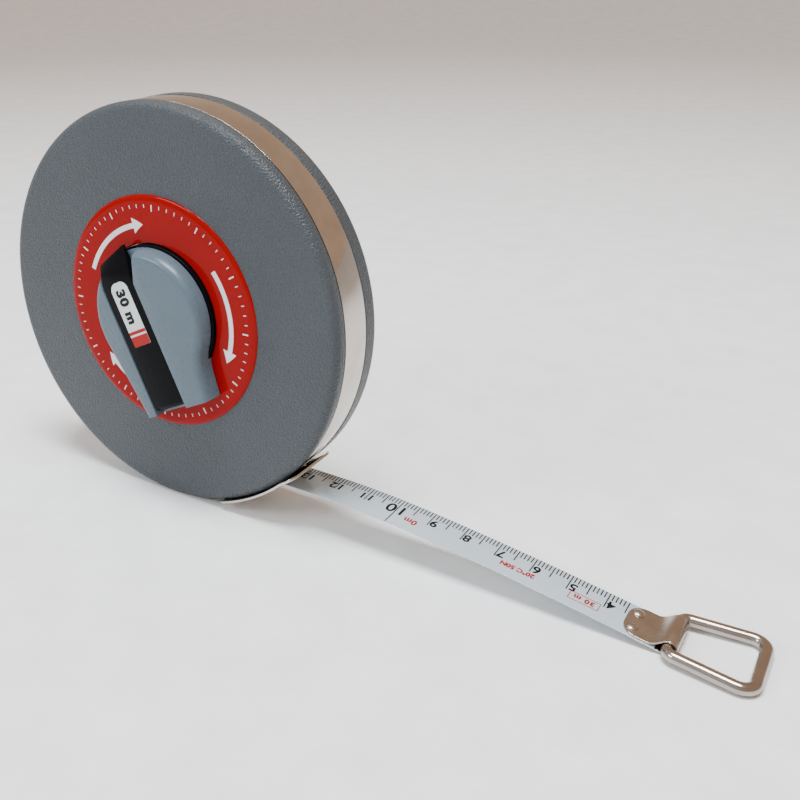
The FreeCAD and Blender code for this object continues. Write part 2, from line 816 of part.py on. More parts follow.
def clip_rivet_shanks(radius):
    """Rods through both leaves, in the clip's own frame."""
    reach = clip_half_gap + clip_wall + cut_margin
    shanks = [rod(radius, 2 * reach, place - V(0, 0, reach), V(0, 0, 1))
              for place in clip_rivet_places()]
    return Part.makeCompound(shanks)


def tape_lead():
    """The tape between the coil and the mouth, inside the case."""
    return block(0, mouth_x - lead_gap, mid_y - tape_width / 2, mid_y + tape_width / 2,
                 tape_top_z - tape_thickness, tape_top_z)


def tape_blade():
    """The pulled-out tape, from the mouth to the clip."""
    strip, start = blade_strip(blade_end_slope)
    blade = strip.solid(start, tape_width)
    return blade.cut(to_clip(clip_rivet_shanks(clip_rivet_radius + clip_clearance)))


# ---------------------------------------------------------------- clip and ring
def end_clip():
    """One strip of sheet folded round the ring's bar and closed on both faces of the tape."""
    width = tape_width - 2 * clip_side_inset
    middle = -loop_centre_height
    lower = block(-clip_length, 0, -width / 2, width / 2,
                  middle - clip_half_gap - clip_wall, middle - clip_half_gap)
    upper = block(-clip_length, -ring_wire_radius, -width / 2, width / 2,
                  middle + clip_half_gap, middle + clip_half_gap + clip_wall)
    loop = tube(loop_outer, loop_inner, -width / 2, width / 2)
    past = -loop_outer - cut_margin
    loop = loop.cut(block(past, 0, -width, width, past, middle + clip_half_gap))
    upper = upper.cut(disc(loop_inner, -width, width))
    clip = lower.fuse(upper).fuse(loop).removeSplitter()
    corners = [edge for edge in clip.Edges
               if edge.BoundBox.XMax < -clip_length + touch and edge.BoundBox.YLength < touch]
    clip = clip.makeFillet(clip_corner, corners)
    return to_clip(clip.cut(clip_rivet_shanks(clip_rivet_radius + clip_clearance)))


def clip_rivets():
    """Two domed rivets through both leaves and the tape."""
    top = clip_half_gap + clip_wall
    rivets = []
    for place in clip_rivet_places():
        shank_low = place - V(0, 0, top + clip_rivet_foot)
        shank = rod(clip_rivet_radius, 2 * top + clip_rivet_foot + clip_rivet_head / 2,
                    shank_low, V(0, 0, 1))
        foot = rod(clip_rivet_foot_radius, clip_rivet_foot, shank_low, V(0, 0, 1))
        sphere = (clip_rivet_head_radius ** 2 + clip_rivet_head ** 2) / (2 * clip_rivet_head)
        dome = Part.makeSphere(sphere, place + V(0, 0, top + clip_rivet_head - sphere))
        side = 2 * sphere
        keep = Part.makeBox(2 * side, 2 * side, side, place + V(-side, -side, top))
        rivets.append(shank.fuse(foot).fuse(dome.common(keep)).removeSplitter())
    return to_clip(Part.makeCompound(rivets))


def ring_near_width():
    """Between the side bars' centre lines at the clip's end."""
    return tape_width - 2 * clip_side_inset + 2 * (ring_side_clearance + ring_wire_radius)


def ring_path():
    """Closed centre line in the XY plane: a bar at x = 0, a wider one at ring_length."""
    near = ring_near_width() / 2
    far = ring_far_width / 2
    corners = [
        (V(0, -near, 0), ring_near_corner), (V(ring_length, -far, 0), ring_far_corner),
        (V(ring_length, far, 0), ring_far_corner), (V(0, near, 0), ring_near_corner),
    ]
    edges = []
    ends = []
    for index, (corner, radius) in enumerate(corners):
        before = (corners[index - 1][0] - corner).normalize()
        after = (corners[(index + 1) % 4][0] - corner).normalize()
        half = before.getAngle(after) / 2
        reach = radius / math.tan(half)
        inward = (before + after).normalize()
        middle = corner + inward * (radius / math.sin(half) - radius)
        ends.append((corner + before * reach, middle, corner + after * reach))
    for index, (start, middle, end) in enumerate(ends):
        edges.append(Part.Arc(start, middle, end).toShape())
        edges.append(Part.makeLine(end, ends[(index + 1) % 4][0]))
    return Part.Wire(edges)


def end_ring():
    """Round wire ring; its near bar lies in the clip's loop and its far bar on the surface."""
    path = ring_path()
    first = path.Edges[0]
    start = first.valueAt(first.FirstParameter)
    tangent = first.tangentAt(first.FirstParameter)
    profile = Part.Wire(Part.makeCircle(ring_wire_radius, start, tangent))
    wire = path.makePipeShell([profile], True, False)
    tilt = math.degrees(math.asin((loop_z - ground_z - ring_wire_radius) / ring_length))
    wire.Placement = FreeCAD.Placement(
        V(loop_x, mid_y, loop_z), FreeCAD.Rotation(Y_AXIS, tilt))
    return wire


BUILDERS = [
    front_shell, front_cover, back_shell, back_cover, rim_band, label_ring,
    mouth_plate, mouth_rivets, guide_pins,
    front_bush, bush_retainer, thrust_washer, back_pivot, spring_washer,
    drum, tape_anchor, tape_coil,
    crank_arm, crank_screws, grip_pin, folding_grip, grip_sticker,
    tape_lead, tape_blade, end_clip, clip_rivets, end_ring,
]


def main():
    os.makedirs("parts", exist_ok=True)
    for builder in BUILDERS:
        shape = builder()
        solids = shape.Solids
        if len(solids) == 1:
            shape = solids[0]
        shape.exportStep("parts/" + builder.__name__ + ".step")
        box = shape.BoundBox
        print(f"{builder.__name__:14s} solids {len(solids)} valid {shape.isValid()} "
              f"volume {shape.Volume:9.1f}  x {box.XMin:7.2f} {box.XMax:7.2f}  "
              f"y {box.YMin:7.2f} {box.YMax:7.2f}  z {box.ZMin:7.2f} {box.ZMax:7.2f}")
    print(f"clip loop at x {loop_x:.3f} z {loop_z:.3f}, end slope {blade_end_slope:.3f} degrees")


main()
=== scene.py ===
"""Looks for a closed-case steel long tape: leathercloth case, printed blade, crank and end ring."""
import json
import logging
import math
from collections.abc import Callable, Sequence
from dataclasses import dataclass, field
from enum import Enum

import bmesh
import bpy
from mathutils import Matrix, Vector
from mathutils.bvhtree import BVHTree


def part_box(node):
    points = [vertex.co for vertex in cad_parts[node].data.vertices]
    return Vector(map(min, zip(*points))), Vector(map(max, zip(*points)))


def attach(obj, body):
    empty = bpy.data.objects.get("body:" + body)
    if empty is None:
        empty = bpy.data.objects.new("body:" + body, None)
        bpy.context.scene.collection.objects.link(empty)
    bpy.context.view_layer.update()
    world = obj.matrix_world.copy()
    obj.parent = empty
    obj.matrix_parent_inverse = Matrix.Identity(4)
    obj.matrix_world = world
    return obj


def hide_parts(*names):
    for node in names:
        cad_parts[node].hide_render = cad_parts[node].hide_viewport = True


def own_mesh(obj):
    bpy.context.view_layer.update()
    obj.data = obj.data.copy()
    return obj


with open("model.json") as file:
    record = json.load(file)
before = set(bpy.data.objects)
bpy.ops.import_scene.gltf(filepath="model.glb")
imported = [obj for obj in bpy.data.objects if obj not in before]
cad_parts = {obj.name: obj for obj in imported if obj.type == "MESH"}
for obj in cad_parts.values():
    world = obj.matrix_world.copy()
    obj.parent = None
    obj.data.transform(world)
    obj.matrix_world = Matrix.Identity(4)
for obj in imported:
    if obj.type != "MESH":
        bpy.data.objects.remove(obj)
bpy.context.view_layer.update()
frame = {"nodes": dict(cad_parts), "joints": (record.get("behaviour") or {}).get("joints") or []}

MM = 0.001
SMOOTH_LIMIT = math.radians(32.0)
CASE_STEPS = 320
FIGURE_SHARE = 0.70
RING_STEP = 1.5 * MM
LOG = logging.getLogger("long_tape")

Colour = tuple[float, float, float]
Ring = list[Vector]


class Slot(Enum):
    """The material slots that the record names."""

    LEATHERCLOTH = "leathercloth"
    BRIGHT_PLATE = "bright_plate"
    PRESSED_STEEL = "pressed_steel"
    RED_LABEL = "red_label"
    BLACK_PLASTIC = "black_plastic"
    GREY_PLASTIC = "grey_plastic"
    PRINTED_PLATE = "printed_plate"
    WHITE_ENAMEL = "white_enamel"
    TURNED_STEEL = "turned_steel"
    NYLON = "nylon"
    DRUM_PLASTIC = "drum_plastic"


class Body(Enum):
    """The moving bodies that pieces ride on."""

    CASE = "case"
    WINDER = "winder"
    GRIP = "grip"
    TAPE_END = "tape_end"
    RING = "ring"


# ---------------------------------------------------------------- finishes
class NodeSheet:
    """A material's node tree, with short ways to add and join its nodes."""

    def __init__(self, name: str) -> None:
        """Start an empty principled material.

        Args:
            name: the material's name.
        """
        self.material = bpy.data.materials.new(name)
        self.material.use_nodes = True
        self.tree = self.material.node_tree
        self.shader = self.tree.nodes["Principled BSDF"]

    def add(self, kind: str, **values: object) -> bpy.types.Node:
        """Add a node.

        Args:
            kind: the node's type name, without "ShaderNode".
            **values: socket values by name with underscores for spaces, or node properties.

        Returns:
            The new node.
        """
        node = self.tree.nodes.new("ShaderNode" + kind)
        for key, value in values.items():
            socket = node.inputs.get(key.replace("_", " "))
            if socket is not None:
                socket.default_value = value
            else:
                setattr(node, key, value)
        return node

    def join(self, source: bpy.types.NodeSocket, target: bpy.types.NodeSocket) -> None:
        """Join an output to an input."""
        self.tree.links.new(source, target)

    def place(self) -> bpy.types.NodeSocket:
        """The point on the piece, in its own metres."""
        return self.add("TexCoord").outputs["Object"]

    def noise(self, scale: float, detail: float = 4.0, rough: float = 0.55) -> bpy.types.NodeSocket:
        """Soft noise over the piece.

        Args:
            scale: cells to the metre.
            detail: octaves.
            rough: strength of the finer octaves.

        Returns:
            The noise value.
        """
        node = self.add("TexNoise", Scale=scale, Detail=detail, Roughness=rough)
        self.join(self.place(), node.inputs["Vector"])
        return node.outputs["Fac"]

    def streaks(self, stretch: Colour, scale: float) -> bpy.types.NodeSocket:
        """Noise drawn out into brush or rolling marks.

        Args:
            stretch: how far each axis is squeezed before the noise.
            scale: cells to the metre.

        Returns:
            The noise value.
        """
        squeeze = self.add("Mapping")
        squeeze.inputs["Scale"].default_value = stretch
        self.join(self.place(), squeeze.inputs["Vector"])
        node = self.add("TexNoise", Scale=scale, Detail=3.0)
        self.join(squeeze.outputs["Vector"], node.inputs["Vector"])
        return node.outputs["Fac"]

    def cells(self, scale: float, jitter: float = 1.0) -> bpy.types.NodeSocket:
        """Rounded cells, as on an embossed grain.

        Args:
            scale: cells to the metre.
            jitter: how uneven the cells are.

        Returns:
            The distance to the nearest cell's middle.
        """
        node = self.add("TexVoronoi", Scale=scale, Randomness=jitter)
        self.join(self.place(), node.inputs["Vector"])
        return node.outputs["Distance"]

    def spread(self, value: bpy.types.NodeSocket, low: float, high: float,
               start: float = 0.3, end: float = 0.7) -> bpy.types.NodeSocket:
        """Draw a value from one span onto another.

        Args:
            value: the value.
            low: result at the span's start.
            high: result at the span's end.
            start: of the span.
            end: of the span.

        Returns:
            The drawn value.
        """
        node = self.add("MapRange")
        for key, number in (("From Min", start), ("From Max", end), ("To Min", low), ("To Max", high)):
            node.inputs[key].default_value = number
        self.join(value, node.inputs["Value"])
        return node.outputs["Result"]

    def tint(self, value: bpy.types.NodeSocket, first: Colour, second: Colour) -> None:
        """Colour the piece between two colours.

        Args:
            value: 0 gives the first colour and 1 the second.
            first: the first colour.
            second: the second colour.
        """
        node = self.add("Mix", data_type="RGBA")
        self.join(value, node.inputs[0])
        node.inputs[6].default_value = (*first, 1.0)
        node.inputs[7].default_value = (*second, 1.0)
        self.join(node.outputs[2], self.shader.inputs["Base Color"])

    def bump(self, heights: Sequence[tuple[bpy.types.NodeSocket, float]]) -> None:
        """Relief from one or more height values.

        Args:
            heights: each value and how far it stands up, in metres.
        """
        normal = None
        for value, depth in heights:
            node = self.add("Bump", Strength=1.0, Distance=depth)
            self.join(value, node.inputs["Height"])
            if normal is not None:
                self.join(normal, node.inputs["Normal"])
            normal = node.outputs["Normal"]
        self.join(normal, self.shader.inputs["Normal"])


def shade(colour: Colour, factor: float) -> Colour:
    """The colour made lighter or darker."""
    return tuple(min(1.0, part * factor) for part in colour)


@dataclass(frozen=True)
class Leathercloth:
    """Coated cloth with a fine pressed grain and a satin sheen."""

    colour: Colour = (0.046, 0.054, 0.061)
    grain: float = 1700.0
    grain_depth: float = 0.00026
    roughness: tuple[float, float] = (0.24, 0.36)
    specular: float = 0.28

    def build(self) -> bpy.types.Material:
        """Make the material."""
        sheet = NodeSheet("leathercloth")
        grain = sheet.cells(self.grain)
        fine = sheet.noise(self.grain * 2.2, 2.0)
        broad = sheet.noise(28.0, 5.0)
        sheet.tint(sheet.spread(broad, 0.0, 1.0), shade(self.colour, 0.93), shade(self.colour, 1.07))
        sheet.join(sheet.spread(grain, *self.roughness, 0.1, 0.6), sheet.shader.inputs["Roughness"])
        sheet.bump([(grain, -self.grain_depth), (fine, self.grain_depth * 0.4), (broad, 0.00025)])
        sheet.shader.inputs["Specular IOR Level"].default_value = self.specular
        return sheet.material


@dataclass(frozen=True)
class Metal:
    """Plated, rolled or turned metal."""

    name: str
    colour: Colour
    roughness: tuple[float, float]
    stretch: Colour = (1.0, 1.0, 1.0)
    streak_scale: float = 900.0
    streak_depth: float = 0.000004
    wave_depth: float = 0.0

    def build(self) -> bpy.types.Material:
        """Make the material."""
        sheet = NodeSheet(self.name)
        marks = sheet.streaks(self.stretch, self.streak_scale)
        smudge = sheet.noise(120.0, 5.0)
        sheet.tint(sheet.spread(smudge, 0.0, 1.0), shade(self.colour, 0.90), shade(self.colour, 1.08))
        sheet.join(sheet.spread(smudge, *self.roughness), sheet.shader.inputs["Roughness"])
        heights = [(marks, self.streak_depth)]
        if self.wave_depth > 0:
            heights.append((sheet.noise(22.0, 1.0), self.wave_depth))
        sheet.bump(heights)
        sheet.shader.inputs["Metallic"].default_value = 1.0
        return sheet.material


@dataclass(frozen=True)
class Moulding:
    """Moulded or printed plastic, or enamel: a base under an optional clear coat."""

    name: str
    colour: Colour
    roughness: tuple[float, float]
    coat: float = 0.0
    coat_roughness: float = 0.06
    peel_scale: float = 700.0
    peel_depth: float = 0.000006
    mottle: float = 0.05
    specular: float = 0.4

    def build(self) -> bpy.types.Material:
        """Make the material."""
        sheet = NodeSheet(self.name)
        broad = sheet.noise(60.0, 5.0)
        fine = sheet.noise(self.peel_scale, 3.0)
        sheet.tint(sheet.spread(broad, 0.0, 1.0),
                   shade(self.colour, 1.0 - self.mottle), shade(self.colour, 1.0 + self.mottle))
        sheet.join(sheet.spread(fine, *self.roughness), sheet.shader.inputs["Roughness"])
        sheet.bump([(fine, self.peel_depth), (broad, self.peel_depth * 3.0)])
        sheet.shader.inputs["Coat Weight"].default_value = self.coat
        sheet.shader.inputs["Coat Roughness"].default_value = self.coat_roughness
        sheet.shader.inputs["Specular IOR Level"].default_value = self.specular
        return sheet.material


LEATHERCLOTH = Leathercloth()
BAND_PLATE = Metal("band_plate", (0.54, 0.49, 0.44), (0.10, 0.17), (0.02, 1.0, 0.02), 1600.0,
                   0.000002, 0.0003)
RING_PLATE = Metal("ring_plate", (0.40, 0.35, 0.31), (0.14, 0.22), (1.0, 1.0, 1.0), 1400.0)
CLIP_PLATE = Metal("clip_plate", (0.42, 0.36, 0.31), (0.22, 0.32), (0.1, 1.0, 0.1), 2000.0)
PRESSED_STEEL = Metal("pressed_steel", (0.45, 0.45, 0.46), (0.30, 0.42))
TURNED_STEEL = Metal("turned_steel", (0.40, 0.40, 0.41), (0.22, 0.32), (1.0, 0.05, 1.0), 1800.0)
RED_GLOSS = Moulding("red_gloss", (0.23, 0.0004, 0.0004), (0.08, 0.13), 0.08, 0.03, 160.0, 0.000004,
                     0.04, 0.06)
WHITE_PRINT = Moulding("white_print", (0.62, 0.63, 0.64), (0.22, 0.32), 0.8, 0.06)
GREY_MOULDING = Moulding("grey_moulding", (0.080, 0.112, 0.138), (0.24, 0.34), 0.08, 0.2, 420.0,
                         0.000004, 0.04, 0.25)
BLACK_MOULDING = Moulding("black_moulding", (0.003, 0.003, 0.004), (0.18, 0.28), 0.0, 0.16, 500.0,
                          0.000006, 0.05, 0.05)
PLATE_WHITE = Moulding("plate_white", (0.56, 0.60, 0.60), (0.34, 0.44), 0.2, 0.25, 2200.0, 0.000006)
PLATE_RED = Moulding("plate_red", (0.30, 0.002, 0.002), (0.3, 0.4), specular=0.2)
ENAMEL = Moulding("enamel", (0.40, 0.47, 0.51), (0.14, 0.22), 0.8, 0.08, 380.0, 0.000003, 0.03)
BLACK_INK = Moulding("black_ink", (0.004, 0.004, 0.005), (0.4, 0.5), specular=0.15)
RED_INK = Moulding("red_ink", (0.30, 0.008, 0.012), (0.4, 0.5), specular=0.15)
NYLON = Moulding("nylon", (0.62, 0.60, 0.55), (0.45, 0.55))
DRUM_PLASTIC = Moulding("drum_plastic", (0.035, 0.035, 0.038), (0.45, 0.6), 0.0, 0.1, 900.0, 0.00002)
FLOOR_PAPER = Moulding("floor_paper", (0.86, 0.86, 0.86), (0.75, 0.85))


class FinishRack:
    """Holds each finish once it is built, so that pieces share it."""

    def __init__(self) -> None:
        """Start with no finishes built."""
        self.built: dict[object, bpy.types.Material] = {}

    def take(self, finish: Leathercloth | Metal | Moulding) -> bpy.types.Material:
        """The finish's material, built the first time it is asked for."""
        if finish not in self.built:
            self.built[finish] = finish.build()
        return self.built[finish]


RACK = FinishRack()


# ---------------------------------------------------------------- mesh making
def mesh_piece(name: str, build: bmesh.types.BMesh) -> bpy.types.Object:
    """Put a finished bmesh in the scene as an object with soft shading.

    Args:
        name: the piece's name.
        build: the mesh, which is freed.

    Returns:
        The new object.
    """
    bmesh.ops.recalc_face_normals(build, faces=build.faces)
    mesh = bpy.data.meshes.new(name)
    build.to_mesh(mesh)
    build.free()
    piece = bpy.data.objects.new(name, mesh)
    bpy.context.scene.collection.objects.link(piece)
    soften(piece)
    return piece


def soften(piece: bpy.types.Object) -> None:
    """Shade smooth, and keep edges sharper than the limit crisp."""
    for polygon in piece.data.polygons:
        polygon.use_smooth = True
    piece.data.set_sharp_from_angle(angle=SMOOTH_LIMIT)


def loft(rings: Sequence[Ring], closed: bool = False) -> bmesh.types.BMesh:
    """Skin a row of closed rings that have the same number of points.

    Args:
        rings: the rings in order.
        closed: whether the last ring joins the first; otherwise both ends are capped.

    Returns:
        The closed mesh.
    """
    build = bmesh.new()
    rows = [[build.verts.new(point) for point in ring] for ring in rings]
    count = len(rows[0])
    pairs = list(zip(rows, rows[1:]))
    if closed:
        pairs.append((rows[-1], rows[0]))
    for low, high in pairs:
        for index in range(count):
            after = (index + 1) % count
            build.faces.new((low[index], low[after], high[after], high[index]))
    if not closed:
        build.faces.new(rows[0])
        build.faces.new(rows[-1])
    return build


def rounded(corners: Sequence[tuple[float, float, float]], steps: int = 6) -> list[tuple[float, float]]:
    """A closed outline whose corners are turned into arcs.

    Args:
        corners: (x, y, radius) for each corner in order.
        steps: points along each arc.

    Returns:
        The outline's points.
    """
    outline = []
    for index, (x, y, radius) in enumerate(corners):
        here = Vector((x, y))
        if radius <= 0:
            outline.append((x, y))
            continue
        before = (Vector(corners[index - 1][:2]) - here).normalized()
        after = (Vector(corners[(index + 1) % len(corners)][:2]) - here).normalized()
        half = before.angle(after) / 2
        reach = radius / math.tan(half)
        centre = here + (before + after).normalized() * radius / math.sin(half)
        first = here + before * reach - centre
        turn = first.angle_signed(here + after * reach - centre)
        for step in range(steps + 1):
            spoke = first.copy()
            spoke.rotate(Matrix.Rotation(-turn * step / steps, 2))
            outline.append(tuple(centre + spoke))
    return outline


def lathe(name: str, profile: Sequence[tuple[float, float]], segments: int = 256) -> bpy.types.Object:
    """Turn a closed (radius, y) profile about the drum's axis.

    Args:
        name: the piece's name.
        profile: the section, radius first.
        segments: steps round the axis.

    Returns:
        The turned piece.
    """
    rings = []
    for step in range(segments):
        turn = 2 * math.pi * step / segments
        rings.append([Vector((r * math.cos(turn), y, r * math.sin(turn))) for r, y in profile])
    return mesh_piece(name, loft(rings, closed=True))


def box_bmesh(low: Vector, high: Vector) -> bmesh.types.BMesh:
    """A plain block, used only as a cutter.

    Args:
        low: its low corner.
        high: its high corner.

    Returns:
        The closed mesh.
    """
    build = bmesh.new()
    bmesh.ops.create_cube(build, size=1.0)
    size = high - low
    for vert in build.verts:
        vert.co = Vector(low[axis] + (vert.co[axis] + 0.5) * size[axis] for axis in range(3))
    return build


def prism(outline: Sequence[tuple[float, float]], low: float, high: float,
          place: Matrix) -> bmesh.types.BMesh:
    """A block with this outline between two heights.

    Args:
        outline: the plan.
        low: the lower height.
        high: the upper height.
        place: turns plan and height into the part's frame.

    Returns:
        The closed mesh.
    """
    rings = [[place @ Vector((x, y, level)) for x, y in outline] for level in (low, high)]
    return loft(rings)


def carve(piece: bpy.types.Object, cutter: bmesh.types.BMesh) -> None:
    """Cut a closed mesh out of a piece.

    Args:
        piece: the piece, whose mesh is replaced.
        cutter: the closed mesh to take away, which is freed.
    """
    tool = mesh_piece("cutter", cutter)
    cut = piece.modifiers.new("cut", "BOOLEAN")
    cut.operation = "DIFFERENCE"
    cut.solver = "EXACT"
    cut.object = tool
    settle(piece)
    bpy.data.objects.remove(tool)


def settle(piece: bpy.types.Object) -> None:
    """Apply a piece's modifiers to its mesh."""
    graph = bpy.context.evaluated_depsgraph_get()
    graph.update()
    piece.data = bpy.data.meshes.new_from_object(piece.evaluated_get(graph))
    piece.modifiers.clear()
    soften(piece)


def ease_edges(piece: bpy.types.Object, width: float, limit: float = 40.0, segments: int = 2) -> None:
    """Round a piece's sharp edges.

    Args:
        piece: the piece, whose mesh is replaced.
        width: how wide the rounding is, in metres.
        limit: edges sharper than this, in degrees, are rounded.
        segments: steps across the rounding.
    """
    bevel = piece.modifiers.new("ease", "BEVEL")
    bevel.width = width
    bevel.segments = segments
    bevel.limit_method = "ANGLE"
    bevel.angle_limit = math.radians(limit)
    bevel.use_clamp_overlap = True
    settle(piece)


def lettering(text: str, height: float, weight: float, thickness: float,
              spacing: float = 1.0) -> tuple[list[Vector], list[list[int]]]:
    """Flat figures as a mesh, in their own plane with the baseline at y = 0.

    Args:
        text: the figures.
        height: of a figure, in metres.
        weight: how much the strokes are thickened, in metres.
        thickness: of the print, in metres.
        spacing: between figures, as a share of the usual.

    Returns:
        The points, and each face as a list of point numbers.
    """
    curve = bpy.data.curves.new("figures", "FONT")
    curve.body = text
    curve.size = height / FIGURE_SHARE
    curve.offset = weight
    curve.extrude = thickness / 2
    curve.space_character = spacing
    curve.align_x = "CENTER"
    holder = bpy.data.objects.new("figures", curve)
    bpy.context.scene.collection.objects.link(holder)
    graph = bpy.context.evaluated_depsgraph_get()
    graph.update()
    mesh = bpy.data.meshes.new_from_object(holder.evaluated_get(graph))
    points = [vert.co.copy() for vert in mesh.vertices]
    faces = [list(polygon.vertices) for polygon in mesh.polygons]
    bpy.data.objects.remove(holder)
    bpy.data.meshes.remove(mesh)
    return points, faces


class PrintSheet:
    """Collects printed shapes that are laid on a surface as one thin mesh."""

    def __init__(self, lay: Callable[[float, float, float], Vector]) -> None:
        """Start an empty print.

        Args:
            lay: turns (along, across, lift) on the surface into a point of the piece.
        """
        self.lay = lay
        self.build = bmesh.new()

    def block(self, low: tuple[float, float], high: tuple[float, float], thickness: float,
              steps: int = 1) -> None:
        """Lay a rectangle.

        Args:
            low: its (along, across) corner.
            high: the opposite corner.
            thickness: of the print.
            steps: how many stretches it is bent in, along its length.
        """
        rings = []
        for step in range(steps + 1):
            along = low[0] + (high[0] - low[0]) * step / steps
            rings.append([self.lay(along, low[1], 0.0), self.lay(along, high[1], 0.0),
                          self.lay(along, high[1], thickness), self.lay(along, low[1], thickness)])
        self.merge(loft(rings))

    def figures(self, text: str, middle: float, base: float, height: float, weight: float,
                thickness: float, hand: int = 1, spacing: float = 1.0) -> None:
        """Lay a line of figures.

        Args:
            text: the figures.
            middle: along the surface, the middle of the line.
            base: across the surface, the baseline.
            height: of a figure.
            weight: stroke thickening.
            thickness: of the print.
            hand: 1 reads along the surface, -1 back along it where across runs the other way.
            spacing: between figures, as a share of the usual.
        """
        points, faces = lettering(text, height, weight, thickness, spacing)
        verts = [self.build.verts.new(self.lay(middle + hand * p.x, base + p.y, p.z + thickness / 2))
                 for p in points]
        for face in faces:
            self.build.faces.new([verts[index] for index in face])

    def merge(self, other: bmesh.types.BMesh) -> None:
        """Take another mesh in, and free it."""
        mesh = bpy.data.meshes.new("part")
        other.to_mesh(mesh)
        other.free()
        self.build.from_mesh(mesh)
        bpy.data.meshes.remove(mesh)

    def finish(self, name: str) -> bpy.types.Object:
        """Turn the print into a piece."""
        return mesh_piece(name, self.build)


def band_section(half_width: float, thickness: float, edge: float,
                 steps: int = 3) -> list[tuple[float, float]]:
    """A flat strip's section with rounded edges.

    Args:
        half_width: of the strip.
        thickness: of the strip.
        edge: radius of its edges.
        steps: points along each edge's arc.

    Returns:
        (across, up) points.
    """
    half = thickness / 2
    return rounded([(-half_width, -half, edge), (half_width, -half, edge),
                    (half_width, half, edge), (-half_width, half, edge)], steps)


@dataclass
class SheetStrip:
    """A strip of sheet that follows a line in the XZ plane and has its width along Y."""

    name: str
    line: list[Vector]
    thickness: float
    half_widths: list[float]
    middle_y: float
    edge: float

    def build(self) -> bpy.types.Object:
        """Skin the strip's sections along its line."""
        rings = []
        last = len(self.line) - 1
        for index, point in enumerate(self.line):
            ahead = self.line[min(last, index + 1)] - self.line[max(0, index - 1)]
            up = Vector((-ahead.z, 0.0, ahead.x)).normalized()
            section = band_section(self.half_widths[index], self.thickness, self.edge)
            rings.append([point + Vector((0.0, self.middle_y + across, 0.0)) + up * rise
                          for across, rise in section])
        return mesh_piece(self.name, loft(rings))


def wire(name: str, line: Sequence[Vector], radius: float, sides: int = 28) -> bpy.types.Object:
    """Round wire along a closed flat line.

    Args:
        name: the piece's name.
        line: the closed centre line.
        radius: of the wire.
        sides: points round it.

    Returns:
        The wire.
    """
    count = len(line)
    flat = (line[1] - line[0]).cross(line[count // 3] - line[0]).normalized()
    rings = []
    for index, point in enumerate(line):
        ahead = (line[(index + 1) % count] - line[index - 1]).normalized()
        side = ahead.cross(flat).normalized()
        rings.append([point + (side * math.cos(turn) + flat * math.sin(turn)) * radius
                      for turn in (2 * math.pi * step / sides for step in range(sides))])
    return mesh_piece(name, loft(rings, closed=True))


def dome(place: Matrix, radius: float, height: float, sides: int = 32,
         steps: int = 7) -> bmesh.types.BMesh:
    """A rivet's domed head that stands on its own XY plane.

    Args:
        place: where the head's plane lies.
        radius: of the head.
        height: of the head.
        sides: points round it.
        steps: rings up it.

    Returns:
        The closed mesh.
    """
    rings = []
    for step in range(steps + 1):
        rise = math.sin(math.pi / 2 * step / (steps + 0.35))
        reach = radius * math.sqrt(max(0.0, 1 - rise * rise))
        rings.append([place @ Vector((reach * math.cos(turn), reach * math.sin(turn), rise * height))
                      for turn in (2 * math.pi * side / sides for side in range(sides))])
    return loft(rings)


def dress(piece: bpy.types.Object, finish: Leathercloth | Metal | Moulding, slot: Slot,
          body: Body, *stands_for: str) -> bpy.types.Object:
    """Give a made piece its finish and body, and hide the CAD nodes that it stands for.

    Args:
        piece: the made piece.
        finish: its finish.
        slot: the record's slot for the piece; not used.
        body: what it moves with.
        *stands_for: CAD nodes that it replaces.

    Returns:
        The piece.
    """
    piece.data.materials.clear()
    piece.data.materials.append(RACK.take(finish))
    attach(piece, body.value)
    if stands_for:
        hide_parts(*stands_for)
    LOG.info("%s: %d faces on %s", piece.name, len(piece.data.polygons), body.value)
    return piece


def dress_node(node: str, finish: Leathercloth | Metal | Moulding) -> None:
    """Give a CAD node that stays in view its finish."""
    piece = frame["nodes"][node]
    piece.data.materials.clear()
    piece.data.materials.append(RACK.take(finish))
    LOG.info("%s: finished", node)


def joint(name: str) -> dict:
    """The record's joint with this name."""
    return next(entry for entry in frame["joints"] if entry["name"] == name)


